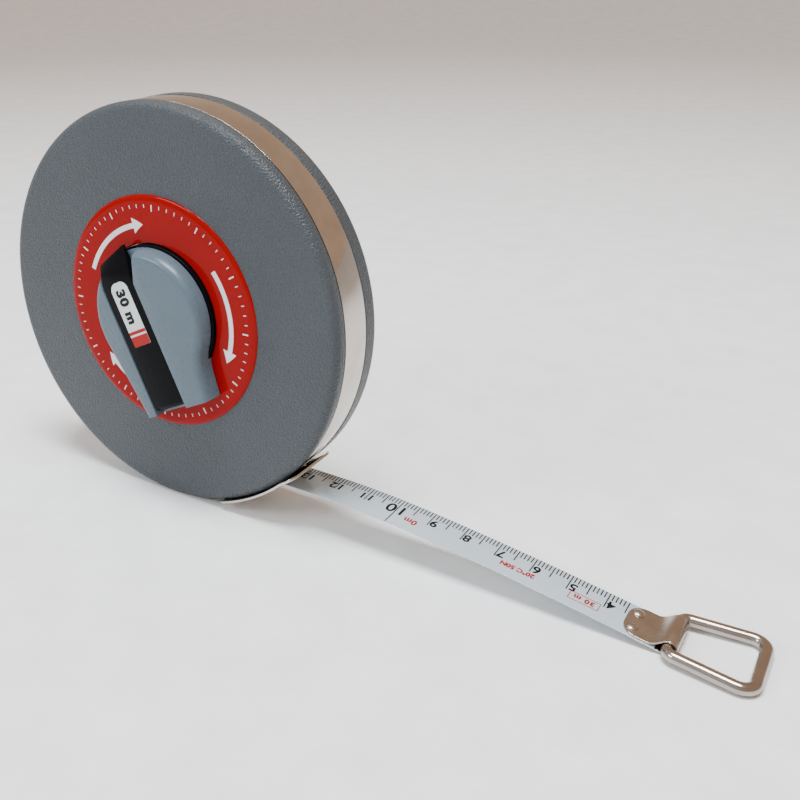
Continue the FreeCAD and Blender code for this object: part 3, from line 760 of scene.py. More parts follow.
# ---------------------------------------------------------------- the case
@dataclass
class CaseCovers:
    """The two leathercloth cups that wrap the case's faces and edges."""

    cloth: float = 0.7 * MM
    edge_radius: float = 2.5 * MM
    lip_radius: float = 0.28 * MM
    bore_edge: float = 0.1 * MM
    bush_room: float = 0.3 * MM
    back_dimple: float = 0.05 * MM
    mouth_height: float = 4.2 * MM
    mouth_room: float = 0.9 * MM
    cutter_reach: float = 10.0 * MM
    low: Vector = field(default_factory=lambda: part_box("front_cover")[0])
    high: Vector = field(default_factory=lambda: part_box("back_cover")[1])

    @property
    def radius(self) -> float:
        """Of the case over the covers."""
        return self.high.x

    @property
    def front(self) -> float:
        """The front face's Y."""
        return self.low.y

    def cup(self, name: str, face_y: float, lip_y: float, bore: float) -> bpy.types.Object:
        """One cover.

        Args:
            name: the piece's name.
            face_y: the Y of its outer face.
            lip_y: the Y of its lip.
            bore: radius of the hole in its face.

        Returns:
            The cover, flat at the foot and open at the mouth.
        """
        inward = 1.0 if lip_y > face_y else -1.0
        inner = self.radius - self.cloth
        skin = face_y + inward * self.cloth
        corners = [
            (bore, face_y, self.bore_edge), (self.radius, face_y, self.edge_radius),
            (self.radius, lip_y, self.lip_radius), (inner, lip_y, self.lip_radius),
            (inner, skin, self.edge_radius - self.cloth), (bore, skin, 0.0),
        ]
        piece = lathe(name, rounded(corners, 10), CASE_STEPS)
        self.open_mouth(piece)
        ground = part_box("front_cover")[0].z
        carve(piece, box_bmesh(Vector((-self.radius, -self.radius, ground - self.radius)),
                               Vector((self.radius, self.radius, ground))))
        return piece

    def open_mouth(self, piece: bpy.types.Object) -> None:
        """Cut the tape's way out through a piece of the rim.

        Args:
            piece: the piece, whose mesh is replaced.
        """
        blade_low, blade_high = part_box("tape_lead")
        middle = (blade_low + blade_high) / 2
        half = (blade_high.y - blade_low.y) / 2 + self.mouth_room
        low = Vector((blade_high.x - self.cutter_reach, middle.y - half,
                      middle.z - self.mouth_height / 2))
        high = Vector((blade_high.x + self.cutter_reach, middle.y + half,
                       middle.z + self.mouth_height / 2))
        carve(piece, box_bmesh(low, high))

    def make(self) -> None:
        """Build both covers."""
        front_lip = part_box("front_cover")[1].y
        back_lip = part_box("back_cover")[0].y
        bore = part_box("front_bush")[1].x + self.bush_room
        front = self.cup("front_leathercloth", self.front, front_lip, bore)
        dress(front, LEATHERCLOTH, Slot.LEATHERCLOTH, Body.CASE, "front_cover")
        back = self.cup("back_leathercloth", self.high.y, back_lip, self.back_dimple)
        dress(back, LEATHERCLOTH, Slot.LEATHERCLOTH, Body.CASE, "back_cover")


@dataclass
class RimBand:
    """The polished strip between the covers, with its lower flanges in the seams."""

    wall: float = 0.6 * MM
    front_edge: float = 0.05 * MM
    back_edge: float = 0.16 * MM
    front_seam: float = 0.34 * MM
    back_seam: float = 0.08 * MM
    flange_depth: float = 0.9 * MM
    below_covers: float = 0.1 * MM

    def make(self, covers: CaseCovers) -> None:
        """Build the band.

        Args:
            covers: the covers that it lies between.
        """
        low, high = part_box("rim_band")
        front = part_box("front_cover")[1].y + self.front_seam
        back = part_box("back_cover")[0].y - self.back_seam
        top = covers.radius - self.below_covers
        flange = high.x - self.flange_depth
        under = flange - self.wall
        corners = [
            (flange, low.y, 0.0), (flange, front, 0.0), (top, front, self.front_edge),
            (top, back, self.back_edge), (flange, back, 0.0), (flange, high.y, 0.0),
            (under, high.y, 0.0), (under, low.y, 0.0),
        ]
        piece = lathe("polished_band", rounded(corners, 4), CASE_STEPS)
        covers.open_mouth(piece)
        dress(piece, BAND_PLATE, Slot.BRIGHT_PLATE, Body.CASE, "rim_band")


@dataclass
class LabelRing:
    """The domed red label round the crank, with plain winding arrows and graduations."""

    crown: float = 0.72 * MM
    edge: float = 2.6 * MM
    print_thickness: float = 0.02 * MM
    tick_count: int = 72
    tick_inner: float = 31.4 * MM
    tick_outer: float = 32.4 * MM
    arrow_radius: float = 26.6 * MM
    arrow_width: float = 1.5 * MM
    arrow_starts: tuple[float, ...] = (158.0, 38.0, -82.0)
    arrow_sweep: float = -52.0
    arrow_tip: float = 8.0
    long_every: int = 6
    long_extra: float = 0.9 * MM
    half_angle: float = 0.2
    long_half_angle: float = 0.34
    arrow_steps: int = 40
    head_steps: int = 8
    head_spread: float = 1.5
    head_blunt: float = 0.05 * MM
    dome_power: float = 2.4
    dome_steps: int = 14
    bore_room: float = 0.3 * MM
    bore_edge: float = 0.15 * MM

    def __post_init__(self) -> None:
        """Read the label's size and place from the frame."""
        self.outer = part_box("label_ring")[1].x
        self.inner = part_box("front_bush")[1].x + self.bore_room
        self.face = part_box("front_cover")[0].y

    def height(self, radius: float) -> float:
        """How far the dome stands off the case.

        Args:
            radius: where.

        Returns:
            The height.
        """
        reach = min(1.0, max(0.0, (self.outer - radius) / self.edge))
        return self.crown * math.sqrt(max(0.0, 1.0 - (1.0 - reach) ** self.dome_power))

    def lay(self, along: float, across: float, lift: float) -> Vector:
        """A point on the dome.

        Args:
            along: the angle in radians.
            across: the radius.
            lift: off the dome.

        Returns:
            The point.
        """
        y = self.face - self.height(across) - lift
        return Vector((across * math.cos(along), y, across * math.sin(along)))

    def arrow(self, marks: PrintSheet, start: float) -> None:
        """Print one curved winding arrow.

        Args:
            marks: the print that it is added to.
            start: the angle of its tail, in degrees.
        """
        first = math.radians(start)
        turn = math.radians(self.arrow_sweep)
        half = self.arrow_width / 2
        marks.block((first, self.arrow_radius - half), (first + turn, self.arrow_radius + half),
                    self.print_thickness, self.arrow_steps)
        tip = math.copysign(math.radians(self.arrow_tip), turn)
        rings = []
        for step in range(self.head_steps + 1):
            share = step / self.head_steps
            spread = self.arrow_width * self.head_spread * (1 - share) + self.head_blunt
            angle = first + turn + tip * share
            rings.append([
                marks.lay(angle, self.arrow_radius - spread, 0.0),
                marks.lay(angle, self.arrow_radius + spread, 0.0),
                marks.lay(angle, self.arrow_radius + spread, self.print_thickness),
                marks.lay(angle, self.arrow_radius - spread, self.print_thickness),
            ])
        marks.merge(loft(rings))

    def make(self) -> None:
        """Build the label and its marks."""
        profile = [(self.outer, self.face)]
        for step in range(self.dome_steps + 1):
            radius = self.outer - self.edge * (step / self.dome_steps) ** 2
            profile.append((radius, self.face - self.height(radius)))
        profile.append((self.inner + self.bore_edge, self.face - self.crown))
        profile.append((self.inner, self.face - self.crown + self.bore_edge))
        profile.append((self.inner, self.face))
        piece = lathe("domed_label", profile)
        dress(piece, RED_GLOSS, Slot.RED_LABEL, Body.CASE, "label_ring")
        marks = PrintSheet(self.lay)
        for index in range(self.tick_count):
            angle = 2 * math.pi * index / self.tick_count
            long = index % self.long_every == 0
            half = math.radians(self.long_half_angle if long else self.half_angle)
            inner = self.tick_inner - (self.long_extra if long else 0.0)
            marks.block((angle - half, inner), (angle + half, self.tick_outer), self.print_thickness)
        for start in self.arrow_starts:
            self.arrow(marks, start)
        dress(marks.finish("label_marks"), WHITE_PRINT, Slot.RED_LABEL, Body.CASE)


@dataclass
class Collar:
    """The black flange of the bush that the crank turns over."""

    edge: float = 0.2 * MM
    cloth: float = 0.7 * MM
    washer_cover: float = 1.8 * MM
    sleeve_wall: float = 2.0 * MM

    def make(self) -> None:
        """Build the collar and its sleeve."""
        low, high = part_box("front_bush")
        radius = high.x
        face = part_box("front_cover")[0].y
        seat = face + self.cloth
        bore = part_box("thrust_washer")[1].x - self.washer_cover
        sleeve = bore + self.sleeve_wall
        corners = [(bore, low.y, self.edge), (radius, low.y, self.edge), (radius, seat, 0.0),
                   (sleeve, seat, 0.0), (sleeve, high.y, 0.0), (bore, high.y, 0.0)]
        piece = lathe("crank_collar", rounded(corners, 5), 200)
        dress(piece, BLACK_MOULDING, Slot.BLACK_PLASTIC, Body.CASE, "front_bush")


# ---------------------------------------------------------------- the crank
class CrankSpace:
    """The crank's own frame: X along its tail, Y across it, Z off the case's face."""

    def __init__(self) -> None:
        """Read the frame from the joint that the grip folds about."""
        across = Vector(joint("grip_fold")["axis"])
        off = Vector((0.0, -1.0, 0.0))
        along = across.cross(off)
        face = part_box("front_cover")[0].y
        self.matrix = Matrix((along, across, off)).transposed().to_4x4()
        self.matrix.translation = Vector((0.0, face, 0.0))
        pin = self.matrix.inverted() @ Vector(joint("grip_fold")["pos_m"])
        self.pin_along = pin.x
        self.slot_middle = pin.y
        self.pin_height = pin.z

    def put(self, x: float, y: float, z: float) -> Vector:
        """A point of the crank's frame in the part's frame."""
        return self.matrix @ Vector((x, y, z))


@dataclass
class WindingCrank:
    """The grey crank: a round head with soft shoulders, and a tail with a slot for the grip."""

    space: CrankSpace
    head_radius: float = 20.5 * MM
    tail_length: float = 28.0 * MM
    tail_left: float = 16.5 * MM
    tail_right: float = 10.7 * MM
    taper: float = 9.0
    waist_radius: float = 14.0 * MM
    base: float = 0.9 * MM
    head_base: float = 2.0 * MM
    top: float = 6.8 * MM
    slot_width: float = 13.0 * MM
    slot_floor: float = 3.0 * MM
    relief_start: float = -10.9 * MM
    relief_angle: float = 26.0
    run_past: float = 8.0 * MM
    collar_room: float = 0.3 * MM
    eased: float = 0.22 * MM
    eased_limit: float = 38.0
    shoulder: tuple[tuple[float, float], ...] = (
        (0.0, 0.0), (0.32, 0.42), (0.52, 0.62), (0.80, 0.76), (1.15, 0.87), (1.62, 0.945),
        (2.2, 0.985), (2.9, 1.0),
    )

    def outline(self) -> list[Vector]:
        """The plan of the head and tail, which runs past the tail's end."""
        end = self.tail_length
        left = Vector((end, -self.tail_left))
        turn = math.atan2(left.y, left.x) - math.acos(self.head_radius / left.length)
        tangent = Vector((math.cos(turn), math.sin(turn))) * self.head_radius
        taper = math.radians(self.taper)
        back = Vector((-math.cos(taper), math.sin(taper)))
        out = Vector((math.sin(taper), math.cos(taper)))
        right = Vector((end, self.tail_right))
        base = right + out * self.waist_radius
        wide = self.head_radius + self.waist_radius
        along = base.dot(back)
        centre = base + back * (-along - math.sqrt(along ** 2 - base.length_squared + wide ** 2))
        waist_end = centre * (self.head_radius / wide)
        points = [left + (left - tangent).normalized() * self.run_past]
        steps = 6
        points += [left.lerp(tangent, step / steps) for step in range(steps)]
        first = math.atan2(tangent.y, tangent.x)
        last = math.atan2(waist_end.y, waist_end.x) - 2 * math.pi
        steps = 120
        for step in range(steps + 1):
            angle = first + (last - first) * step / steps
            points.append(Vector((math.cos(angle), math.sin(angle))) * self.head_radius)
        start = waist_end - centre
        sweep = start.angle_signed(-out)
        for step in range(1, 17):
            spoke = start.copy()
            spoke.rotate(Matrix.Rotation(-sweep * step / 16, 2))
            points.append(centre + spoke)
        waist_start = centre - out * self.waist_radius
        points += [waist_start.lerp(right, step / 4) for step in range(1, 5)]
        points.append(right - back * self.run_past)
        return points

    @staticmethod
    def inset(outline: Sequence[Vector], distance: float) -> list[Vector]:
        """The outline moved inwards.

        Args:
            outline: points in order round the plan.
            distance: how far, in metres.

        Returns:
            As many points.
        """
        count = len(outline)
        area = sum(outline[i - 1].x * outline[i].y - outline[i].x * outline[i - 1].y
                   for i in range(count))
        side = 1.0 if area > 0 else -1.0
        moved = []
        for index, point in enumerate(outline):
            before = (point - outline[index - 1]).normalized()
            after = (outline[(index + 1) % count] - point).normalized()
            first = Vector((-before.y, before.x)) * side
            second = Vector((-after.y, after.x)) * side
            normal = (first + second).normalized()
            moved.append(point + normal * (distance / max(0.5, normal.dot(first))))
        return moved

    def make(self) -> None:
        """Build the crank."""
        plan = self.outline()
        rings = []
        for step_in, rise in self.shoulder:
            height = self.base + (self.top - self.base) * rise
            rings.append([self.space.put(p.x, p.y, height) for p in self.inset(plan, step_in * MM)])
        piece = mesh_piece("winding_crank", loft(rings))
        far = 3 * self.head_radius
        place = self.space.matrix
        end = self.tail_length
        carve(piece, prism([(end, -far), (far, -far), (far, far), (end, far)], -far, far, place))
        low = self.space.slot_middle - self.slot_width / 2
        high = self.space.slot_middle + self.slot_width / 2
        flare = (far + self.relief_start) * math.tan(math.radians(self.relief_angle))
        slot = [(-far, low), (far, low), (far, high), (self.relief_start, high), (-far, high + flare)]
        carve(piece, prism(slot, self.slot_floor, far, place))
        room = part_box("front_bush")[1].x + self.collar_room
        circle = [(room * math.cos(a), room * math.sin(a))
                  for a in (2 * math.pi * step / 96 for step in range(96))]
        carve(piece, prism(circle, -far, self.head_base, place))
        ease_edges(piece, self.eased, self.eased_limit, 3)
        dress(piece, GREY_MOULDING, Slot.GREY_PLASTIC, Body.WINDER, "crank_arm")


@dataclass
class FoldingGrip:
    """The black bar in the crank's slot, bevelled at its head and round at its pin."""

    space: CrankSpace
    half_width: float = 6.2 * MM
    half_thickness: float = 1.6 * MM
    end_radius: float = 22.3 * MM
    bevel_start: float = -13.5 * MM
    bevel_drop: float = 2.2 * MM
    bevel_run: float = 3.0 * MM
    corner: float = 0.35 * MM
    end_round: float = 0.3 * MM
    end_round_limit: float = 50.0

    def section(self, along: float, low: float, high: float, blend: float) -> Ring:
        """One section of the bar.

        Args:
            along: where it is, along the tail.
            low: height of its underside.
            high: height of its top.
            blend: 0 keeps the section square to the bar, 1 puts it on the round end.

        Returns:
            The section's points.
        """
        middle = self.space.slot_middle
        corner = min(self.corner, (high - low) * 0.45)
        flat = rounded([(-self.half_width, low, corner), (self.half_width, low, corner),
                        (self.half_width, high, corner), (-self.half_width, high, corner)], 4)
        ring = []
        for across, height in flat:
            y = middle + across
            end = -math.sqrt(self.end_radius ** 2 - y ** 2)
            ring.append(self.space.put(along + (end - along) * blend, y, height))
        return ring

    def make(self) -> None:
        """Build the bar."""
        pin, centre = self.space.pin_along, self.space.pin_height
        low, high = centre - self.half_thickness, centre + self.half_thickness
        run = self.end_radius + self.bevel_start
        rings = []
        for step in range(9):
            turn = math.pi / 2 * (1 - step / 9)
            reach = self.half_thickness * math.sin(turn)
            rise = self.half_thickness * math.cos(turn) + 0.04 * MM
            rings.append(self.section(pin + reach, centre - rise, centre + rise, 0.0))
        rings.append(self.section(pin - 0.4 * MM, low, high, 0.0))
        for step in range(1, 13):
            along = pin + (self.bevel_start - pin) * step / 12
            rings.append(self.section(along, low, high, 0.0))
        start = self.bevel_start - self.bevel_run
        rings.append(self.section(start, low, high - self.bevel_drop * self.bevel_run / run, 0.0))
        for step in range(1, 9):
            share = step / 8
            drop = self.bevel_drop * (self.bevel_run + (run - self.bevel_run) * share) / run
            rings.append(self.section(start, low, high - drop, share))
        piece = mesh_piece("grip_bar", loft(rings))
        ease_edges(piece, self.end_round, self.end_round_limit, 3)
        dress(piece, BLACK_MOULDING, Slot.BLACK_PLASTIC, Body.GRIP, "folding_grip")


@dataclass
class GripPlate:
    """The printed plate on the grip: a pale panel with the length and a red end."""

    space: CrankSpace
    start: float = -13.0 * MM
    length: float = 19.6 * MM
    half_width: float = 3.5 * MM
    thickness: float = 0.12 * MM
    corner: float = 2.6 * MM
    red_start: float = 14.9 * MM
    stripe_start: float = 15.9 * MM
    stripe_end: float = 16.5 * MM
    ink: float = 0.015 * MM
    print_margin: float = 0.01 * MM
    square_corner: float = 0.25 * MM
    grip_half: float = 1.6 * MM
    text: str = "30 m"
    text_middle: float = 7.45 * MM
    text_base: float = -1.65 * MM
    text_height: float = 3.3 * MM
    text_weight: float = 0.28 * MM
    text_spacing: float = 1.12

    def lay(self, along: float, across: float, lift: float) -> Vector:
        """A point on the plate.

        Args:
            along: from the plate's start.
            across: from its middle.
            lift: off its face.

        Returns:
            The point.
        """
        top = self.space.pin_height + self.grip_half + self.thickness
        return self.space.put(self.start + along, self.space.slot_middle + across, top + lift)

    def make(self) -> None:
        """Build the plate and its print."""
        end = self.length
        half = self.half_width
        outline = rounded([(0.0, -half, self.corner), (end, -half, self.square_corner),
                           (end, half, self.square_corner), (0.0, half, self.corner)], 8)
        rings = [[self.lay(x, y, level) for x, y in outline] for level in (-self.thickness, 0.0)]
        plate = mesh_piece("grip_plate", loft(rings))
        dress(plate, PLATE_WHITE, Slot.PRINTED_PLATE, Body.GRIP, "grip_sticker")
        red = PrintSheet(self.lay)
        edge = half - self.print_margin
        red.block((self.red_start, -edge), (self.stripe_start, edge), self.ink)
        red.block((self.stripe_end, -edge), (end - self.print_margin, edge), self.ink)
        dress(red.finish("grip_plate_red"), PLATE_RED, Slot.PRINTED_PLATE, Body.GRIP)
        text = PrintSheet(self.lay)
        text.figures(self.text, self.text_middle, self.text_base, self.text_height,
                     self.text_weight, self.ink, 1, self.text_spacing)
        dress(text.finish("grip_plate_figures"), BLACK_INK, Slot.PRINTED_PLATE, Body.GRIP)


# ---------------------------------------------------------------- the blade
class BladeLine:
    """The pulled-out blade's top surface, read from the CAD blade."""

    def __init__(self, samples: int = 240) -> None:
        """Look down on the blade along its length.

        Args:
            samples: how many places are looked at.
        """
        node = frame["nodes"]["tape_blade"]
        low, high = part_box("tape_blade")
        self.middle_y = (low.y + high.y) / 2
        self.half_width = (high.y - low.y) / 2
        tree = BVHTree.FromPolygons([v.co for v in node.data.vertices],
                                    [p.vertices for p in node.data.polygons])
        self.points: list[Vector] = []
        inset = 0.02 * MM
        across = self.middle_y + self.half_width * 0.12
        for step in range(samples + 1):
            x = low.x + inset + (high.x - low.x - 2 * inset) * step / samples
            hit = tree.ray_cast(Vector((x, across, high.z + 0.01)), Vector((0, 0, -1)))[0]
            if hit is not None:
                self.points.append(Vector((x, 0.0, hit.z)))
        self.lengths = [0.0]
        for before, after in zip(self.points, self.points[1:]):
            self.lengths.append(self.lengths[-1] + (after - before).length)

    @property
    def length(self) -> float:
        """Of the whole line."""
        return self.lengths[-1]

    def at(self, along: float) -> tuple[Vector, Vector]:
        """A place on the line.

        Args:
            along: how far from the mouth.

        Returns:
            The point and the upward normal there.
        """
        along = min(max(along, 0.0), self.length)
        index = 1
        while index < len(self.lengths) - 1 and self.lengths[index] < along:
            index += 1
        before, after = self.points[index - 1], self.points[index]
        stretch = self.lengths[index] - self.lengths[index - 1]
        ahead = (after - before).normalized()
        point = before.lerp(after, (along - self.lengths[index - 1]) / stretch)
        return point, Vector((-ahead.z, 0.0, ahead.x))

    def lay(self, along: float, across: float, lift: float) -> Vector:
        """A point over the blade.

        Args:
            along: how far from the mouth.
            across: from the far edge (+Y) towards the near one.
            lift: off the blade.

        Returns:
            The point.
        """
        point, up = self.at(along)
        y = self.middle_y + self.half_width - across
        return Vector((point.x, y, point.z)) + up * lift


@dataclass
class PrintedBlade:
    """The enamelled blade with its centimetre scale."""

    line: BladeLine
    thickness: float = 0.25 * MM
    ink: float = 0.05 * MM
    mark_at_mouth: float = 13.56
    mark_at_clip: float = 3.44
    line_width: float = 0.31 * MM
    margin: float = 0.12 * MM
    mm_tick: float = 2.8 * MM
    half_tick: float = 5.1 * MM
    cm_tick: float = 6.6 * MM
    figure_height: float = 3.0 * MM
    figure_base: float = 3.45 * MM
    ten_height: float = 4.1 * MM
    figure_weight: float = 0.11 * MM
    single_shift: float = 1.38 * MM
    pair_shift: float = 1.25 * MM
    ten_spread: float = 1.35
    red_texts: tuple[tuple[str, float, float, float, float], ...] = (
        ("0m", 9.44, 7.2 * MM, 2.1 * MM, 1.1),
        ("20°C 50N", 6.28, 7.35 * MM, 1.6 * MM, 1.0),
        ("30 m", 4.47, 7.0 * MM, 1.7 * MM, 1.15),
    )
    red_box: tuple[float, float, float, float] = (4.07, 4.87, 6.2 * MM, 9.5 * MM)
    box_line: float = 0.2 * MM
    box_steps: int = 8
    sections: int = 160
    edge: float = 0.06 * MM

    def along(self, mark: float) -> float:
        """How far along the blade a mark in centimetres lies."""
        return (self.mark_at_mouth - mark) * 10 * MM

    def ticks(self) -> PrintSheet:
        """The scale's lines."""
        sheet = PrintSheet(self.line.lay)
        first = math.ceil(self.mark_at_clip * 10)
        last = math.floor(self.mark_at_mouth * 10)
        for count in range(first, last + 1):
            reach = self.mm_tick
            if count == 100:
                reach = 2 * self.line.half_width - self.margin
            elif count % 10 == 0:
                reach = self.cm_tick
            elif count % 5 == 0:
                reach = self.half_tick
            middle = self.along(count / 10)
            half = self.line_width / 2
            sheet.block((middle - half, self.margin), (middle + half, reach), self.ink)
        return sheet

    def figures(self) -> PrintSheet:
        """The scale's numbers, whose two digits stand either side of their line."""
        sheet = PrintSheet(self.line.lay)
        for mark in range(4, 14):
            height = self.ten_height if mark == 10 else self.figure_height
            base = self.figure_base
            weight = self.figure_weight
            middle = self.along(mark)
            if mark < 10:
                sheet.figures(str(mark), middle + self.single_shift, base, height, weight, self.ink, -1)
            else:
                step = self.pair_shift * (self.ten_spread if mark == 10 else 1.0)
                sheet.figures(str(mark)[0], middle + step, base, height, weight, self.ink, -1)
                sheet.figures(str(mark)[1], middle - step, base, height, weight, self.ink, -1)
        return sheet

    def red_marks(self) -> PrintSheet:
        """The zero, the temperature and pull, and the boxed length."""
        sheet = PrintSheet(self.line.lay)
        for text, mark, base, height, spacing in self.red_texts:
            sheet.figures(text, self.along(mark), base, height, self.figure_weight, self.ink, -1,
                          spacing)
        first, last, low, high = self.red_box
        left, right, line = self.along(first), self.along(last), self.box_line
        for across in (low, high - line):
            sheet.block((right, across), (left, across + line), self.ink, self.box_steps)
        for along in (right, left - line):
            sheet.block((along, low), (along + line, high), self.ink)
        return sheet

    def make(self) -> None:
        """Build the blade and its print, each with a mesh of its own."""
        centre = []
        for step in range(self.sections + 1):
            point, up = self.line.at(self.line.length * step / self.sections)
            centre.append(point - up * self.thickness / 2)
        strip = SheetStrip("printed_blade", centre, self.thickness,
                           [self.line.half_width] * len(centre), self.line.middle_y, self.edge)
        blade = dress(strip.build(), ENAMEL, Slot.WHITE_ENAMEL, Body.CASE, "tape_blade")
        pieces = [
            blade,
            dress(self.ticks().finish("scale_lines"), BLACK_INK, Slot.WHITE_ENAMEL, Body.CASE),
            dress(self.figures().finish("scale_figures"), BLACK_INK, Slot.WHITE_ENAMEL, Body.CASE),
            dress(self.red_marks().finish("scale_red_marks"), RED_INK, Slot.WHITE_ENAMEL, Body.CASE),
        ]
        for piece in pieces:
            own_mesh(piece)


# ---------------------------------------------------------------- the mouth
@dataclass
class MouthGuard:
    """The bright sheet below the mouth, whose lip stands over the tape."""

    wall: float = 0.8 * MM
    stand_off: float = 0.15 * MM
    below: float = 21.0 * MM
    above: float = 3.9 * MM
    lip_length: float = 6.6 * MM
    flare: float = 8.0
    lip_corner: float = 4.0 * MM
    edge: float = 0.25 * MM
    arc_steps: int = 48
    lip_steps: int = 36
    flare_steps: int = 6

    def make(self, covers: CaseCovers) -> None:
        """Build the guard.

        Args:
            covers: the covers whose rim it follows.
        """
        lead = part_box("tape_lead")
        level = (lead[0].z + lead[1].z) / 2
        low_y, high_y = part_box("mouth_plate")[0].y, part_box("mouth_plate")[1].y
        mouth = math.asin(level / covers.radius)
        start = mouth - self.below / covers.radius
        end = mouth + self.above / covers.radius
        radius = covers.radius + self.stand_off + self.wall / 2
        line = []
        for step in range(self.arc_steps + 1):
            angle = start + (end - start) * step / self.arc_steps
            line.append(Vector((radius * math.cos(angle), 0.0, radius * math.sin(angle))))
        heading = end + math.pi / 2
        flare = math.radians(self.flare)
        for step in range(1, self.lip_steps + 1):
            turn = heading - flare * min(1.0, step / self.flare_steps)
            ahead = Vector((math.cos(turn), 0.0, math.sin(turn)))
            line.append(line[-1] + ahead * self.lip_length / self.lip_steps)
        half = (high_y - low_y) / 2
        widths = []
        for point in line:
            room = min((line[-1] - point).length, self.lip_corner)
            short = self.lip_corner - math.sqrt(self.lip_corner ** 2 - (self.lip_corner - room) ** 2)
            widths.append(half - short)
        strip = SheetStrip("mouth_guard", line, self.wall, widths,
                           (low_y + high_y) / 2, self.edge)
        piece = strip.build()
        covers.open_mouth(piece)
        dress(piece, BAND_PLATE, Slot.BRIGHT_PLATE, Body.CASE, "mouth_plate")
        dress_node("mouth_rivets", TURNED_STEEL)


# ---------------------------------------------------------------- clip and ring
class ClipSpace:
    """The clip's own frame: origin in the loop's middle, X on along the blade, Z up."""

    def __init__(self, line: BladeLine) -> None:
        """Read the frame from the ring's joint and the blade's end.

        Args:
            line: the blade.
        """
        ahead = (line.points[-1] - line.points[-12]).normalized()
        self.slope = math.atan2(-ahead.z, ahead.x)
        self.origin = Vector(joint("ring_swing")["pos_m"])
        self.matrix = Matrix.Translation(self.origin) @ Matrix.Rotation(self.slope, 4, "Y")


@dataclass
class EndClip:
    """Folded sheet that is riveted over the blade's end and holds the ring's bar in its loop."""

    space: ClipSpace
    wall: float = 0.5 * MM
    loop_radius: float = 1.95 * MM
    leaf_length: float = 11.6 * MM
    blade_level: float = -1.555 * MM
    leaf_gap: float = 0.395 * MM
    corner: float = 4.2 * MM
    loop_end: float = 118.0
    rivet_inset: float = 2.3 * MM
    rivet_spacing: float = 6.2 * MM
    rivet_radius: float = 1.55 * MM
    rivet_height: float = 0.7 * MM
    foot_radius: float = 1.4 * MM
    foot_height: float = 0.35 * MM
    sunk: float = 0.05 * MM
    upper_leaf_start: float = -5.2 * MM
    loop_handle: float = 1.5 * MM
    leaf_handle: float = 2.0 * MM

    def half_width(self) -> float:
        """Of the clip, from its CAD node."""
        low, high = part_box("end_clip")
        return (high.y - low.y) / 2

    def fold(self) -> list[Vector]:
        """The sheet's middle line in the clip's frame, from the lower leaf round to the upper."""
        low = self.blade_level - self.leaf_gap
        high = self.blade_level + self.leaf_gap
        flat = 26
        line = [Vector((-self.leaf_length * (1 - (step / flat) ** 1.4), 0.0, low)) for step in range(flat)]
        start = -math.pi / 2
        end = math.radians(self.loop_end)
        for step in range(25):
            turn = start + (end - start) * step / 24
            line.append(Vector((math.cos(turn), 0.0, math.sin(turn))) * self.loop_radius)
        first = line[-1]
        leave = Vector((-math.sin(end), 0.0, math.cos(end)))
        last = Vector((self.upper_leaf_start, 0.0, high))
        handles = (first + leave * self.loop_handle, last + Vector((self.leaf_handle, 0.0, 0.0)))
        for step in range(1, 17):
            t = step / 16
            line.append(first * (1 - t) ** 3 + handles[0] * 3 * t * (1 - t) ** 2
                        + handles[1] * 3 * t * t * (1 - t) + last * t ** 3)
        for step in range(1, flat + 1):
            share = 1 - (1 - step / flat) ** 1.6
            line.append(Vector((last.x + (-self.leaf_length - last.x) * share, 0.0, high)))
        return line

    def width_at(self, x: float) -> float:
        """Half the sheet's width, narrowed round the leaf's end.

        Args:
            x: the place along the leaf.

        Returns:
            Half the width.
        """
        room = x + self.leaf_length
        half = self.half_width()
        if room >= self.corner:
            return half
        return half - self.corner + math.sqrt(max(0.0, self.corner ** 2 - (self.corner - room) ** 2))

    def make(self) -> None:
        """Build the clip and its rivets."""
        fold = self.fold()
        widths = [self.width_at(point.x) for point in fold]
        strip = SheetStrip("folded_clip", [self.space.matrix @ p - Vector((0, self.space.origin.y, 0))
                                           for p in fold],
                           self.wall, widths, self.space.origin.y, 0.16 * MM)
        dress(strip.build(), CLIP_PLATE, Slot.BRIGHT_PLATE, Body.TAPE_END, "end_clip")
        heads = PrintSheet(lambda along, across, lift: Vector((along, across, lift)))
        x = -self.leaf_length + self.rivet_inset
        top = self.blade_level + self.leaf_gap + self.wall / 2
        under = self.blade_level - self.leaf_gap - self.wall / 2
        for side in (-1, 1):
            spot = Vector((x, side * self.rivet_spacing / 2, top - self.sunk))
            heads.merge(dome(self.space.matrix @ Matrix.Translation(spot), self.rivet_radius,
                             self.rivet_height))
            foot = Vector((x, side * self.rivet_spacing / 2, under + self.sunk))
            flip = Matrix.Rotation(math.pi, 4, "X")
            heads.merge(dome(self.space.matrix @ Matrix.Translation(foot) @ flip,
                             self.foot_radius, self.foot_height))
        dress(heads.finish("domed_rivets"), CLIP_PLATE, Slot.BRIGHT_PLATE, Body.TAPE_END, "clip_rivets")


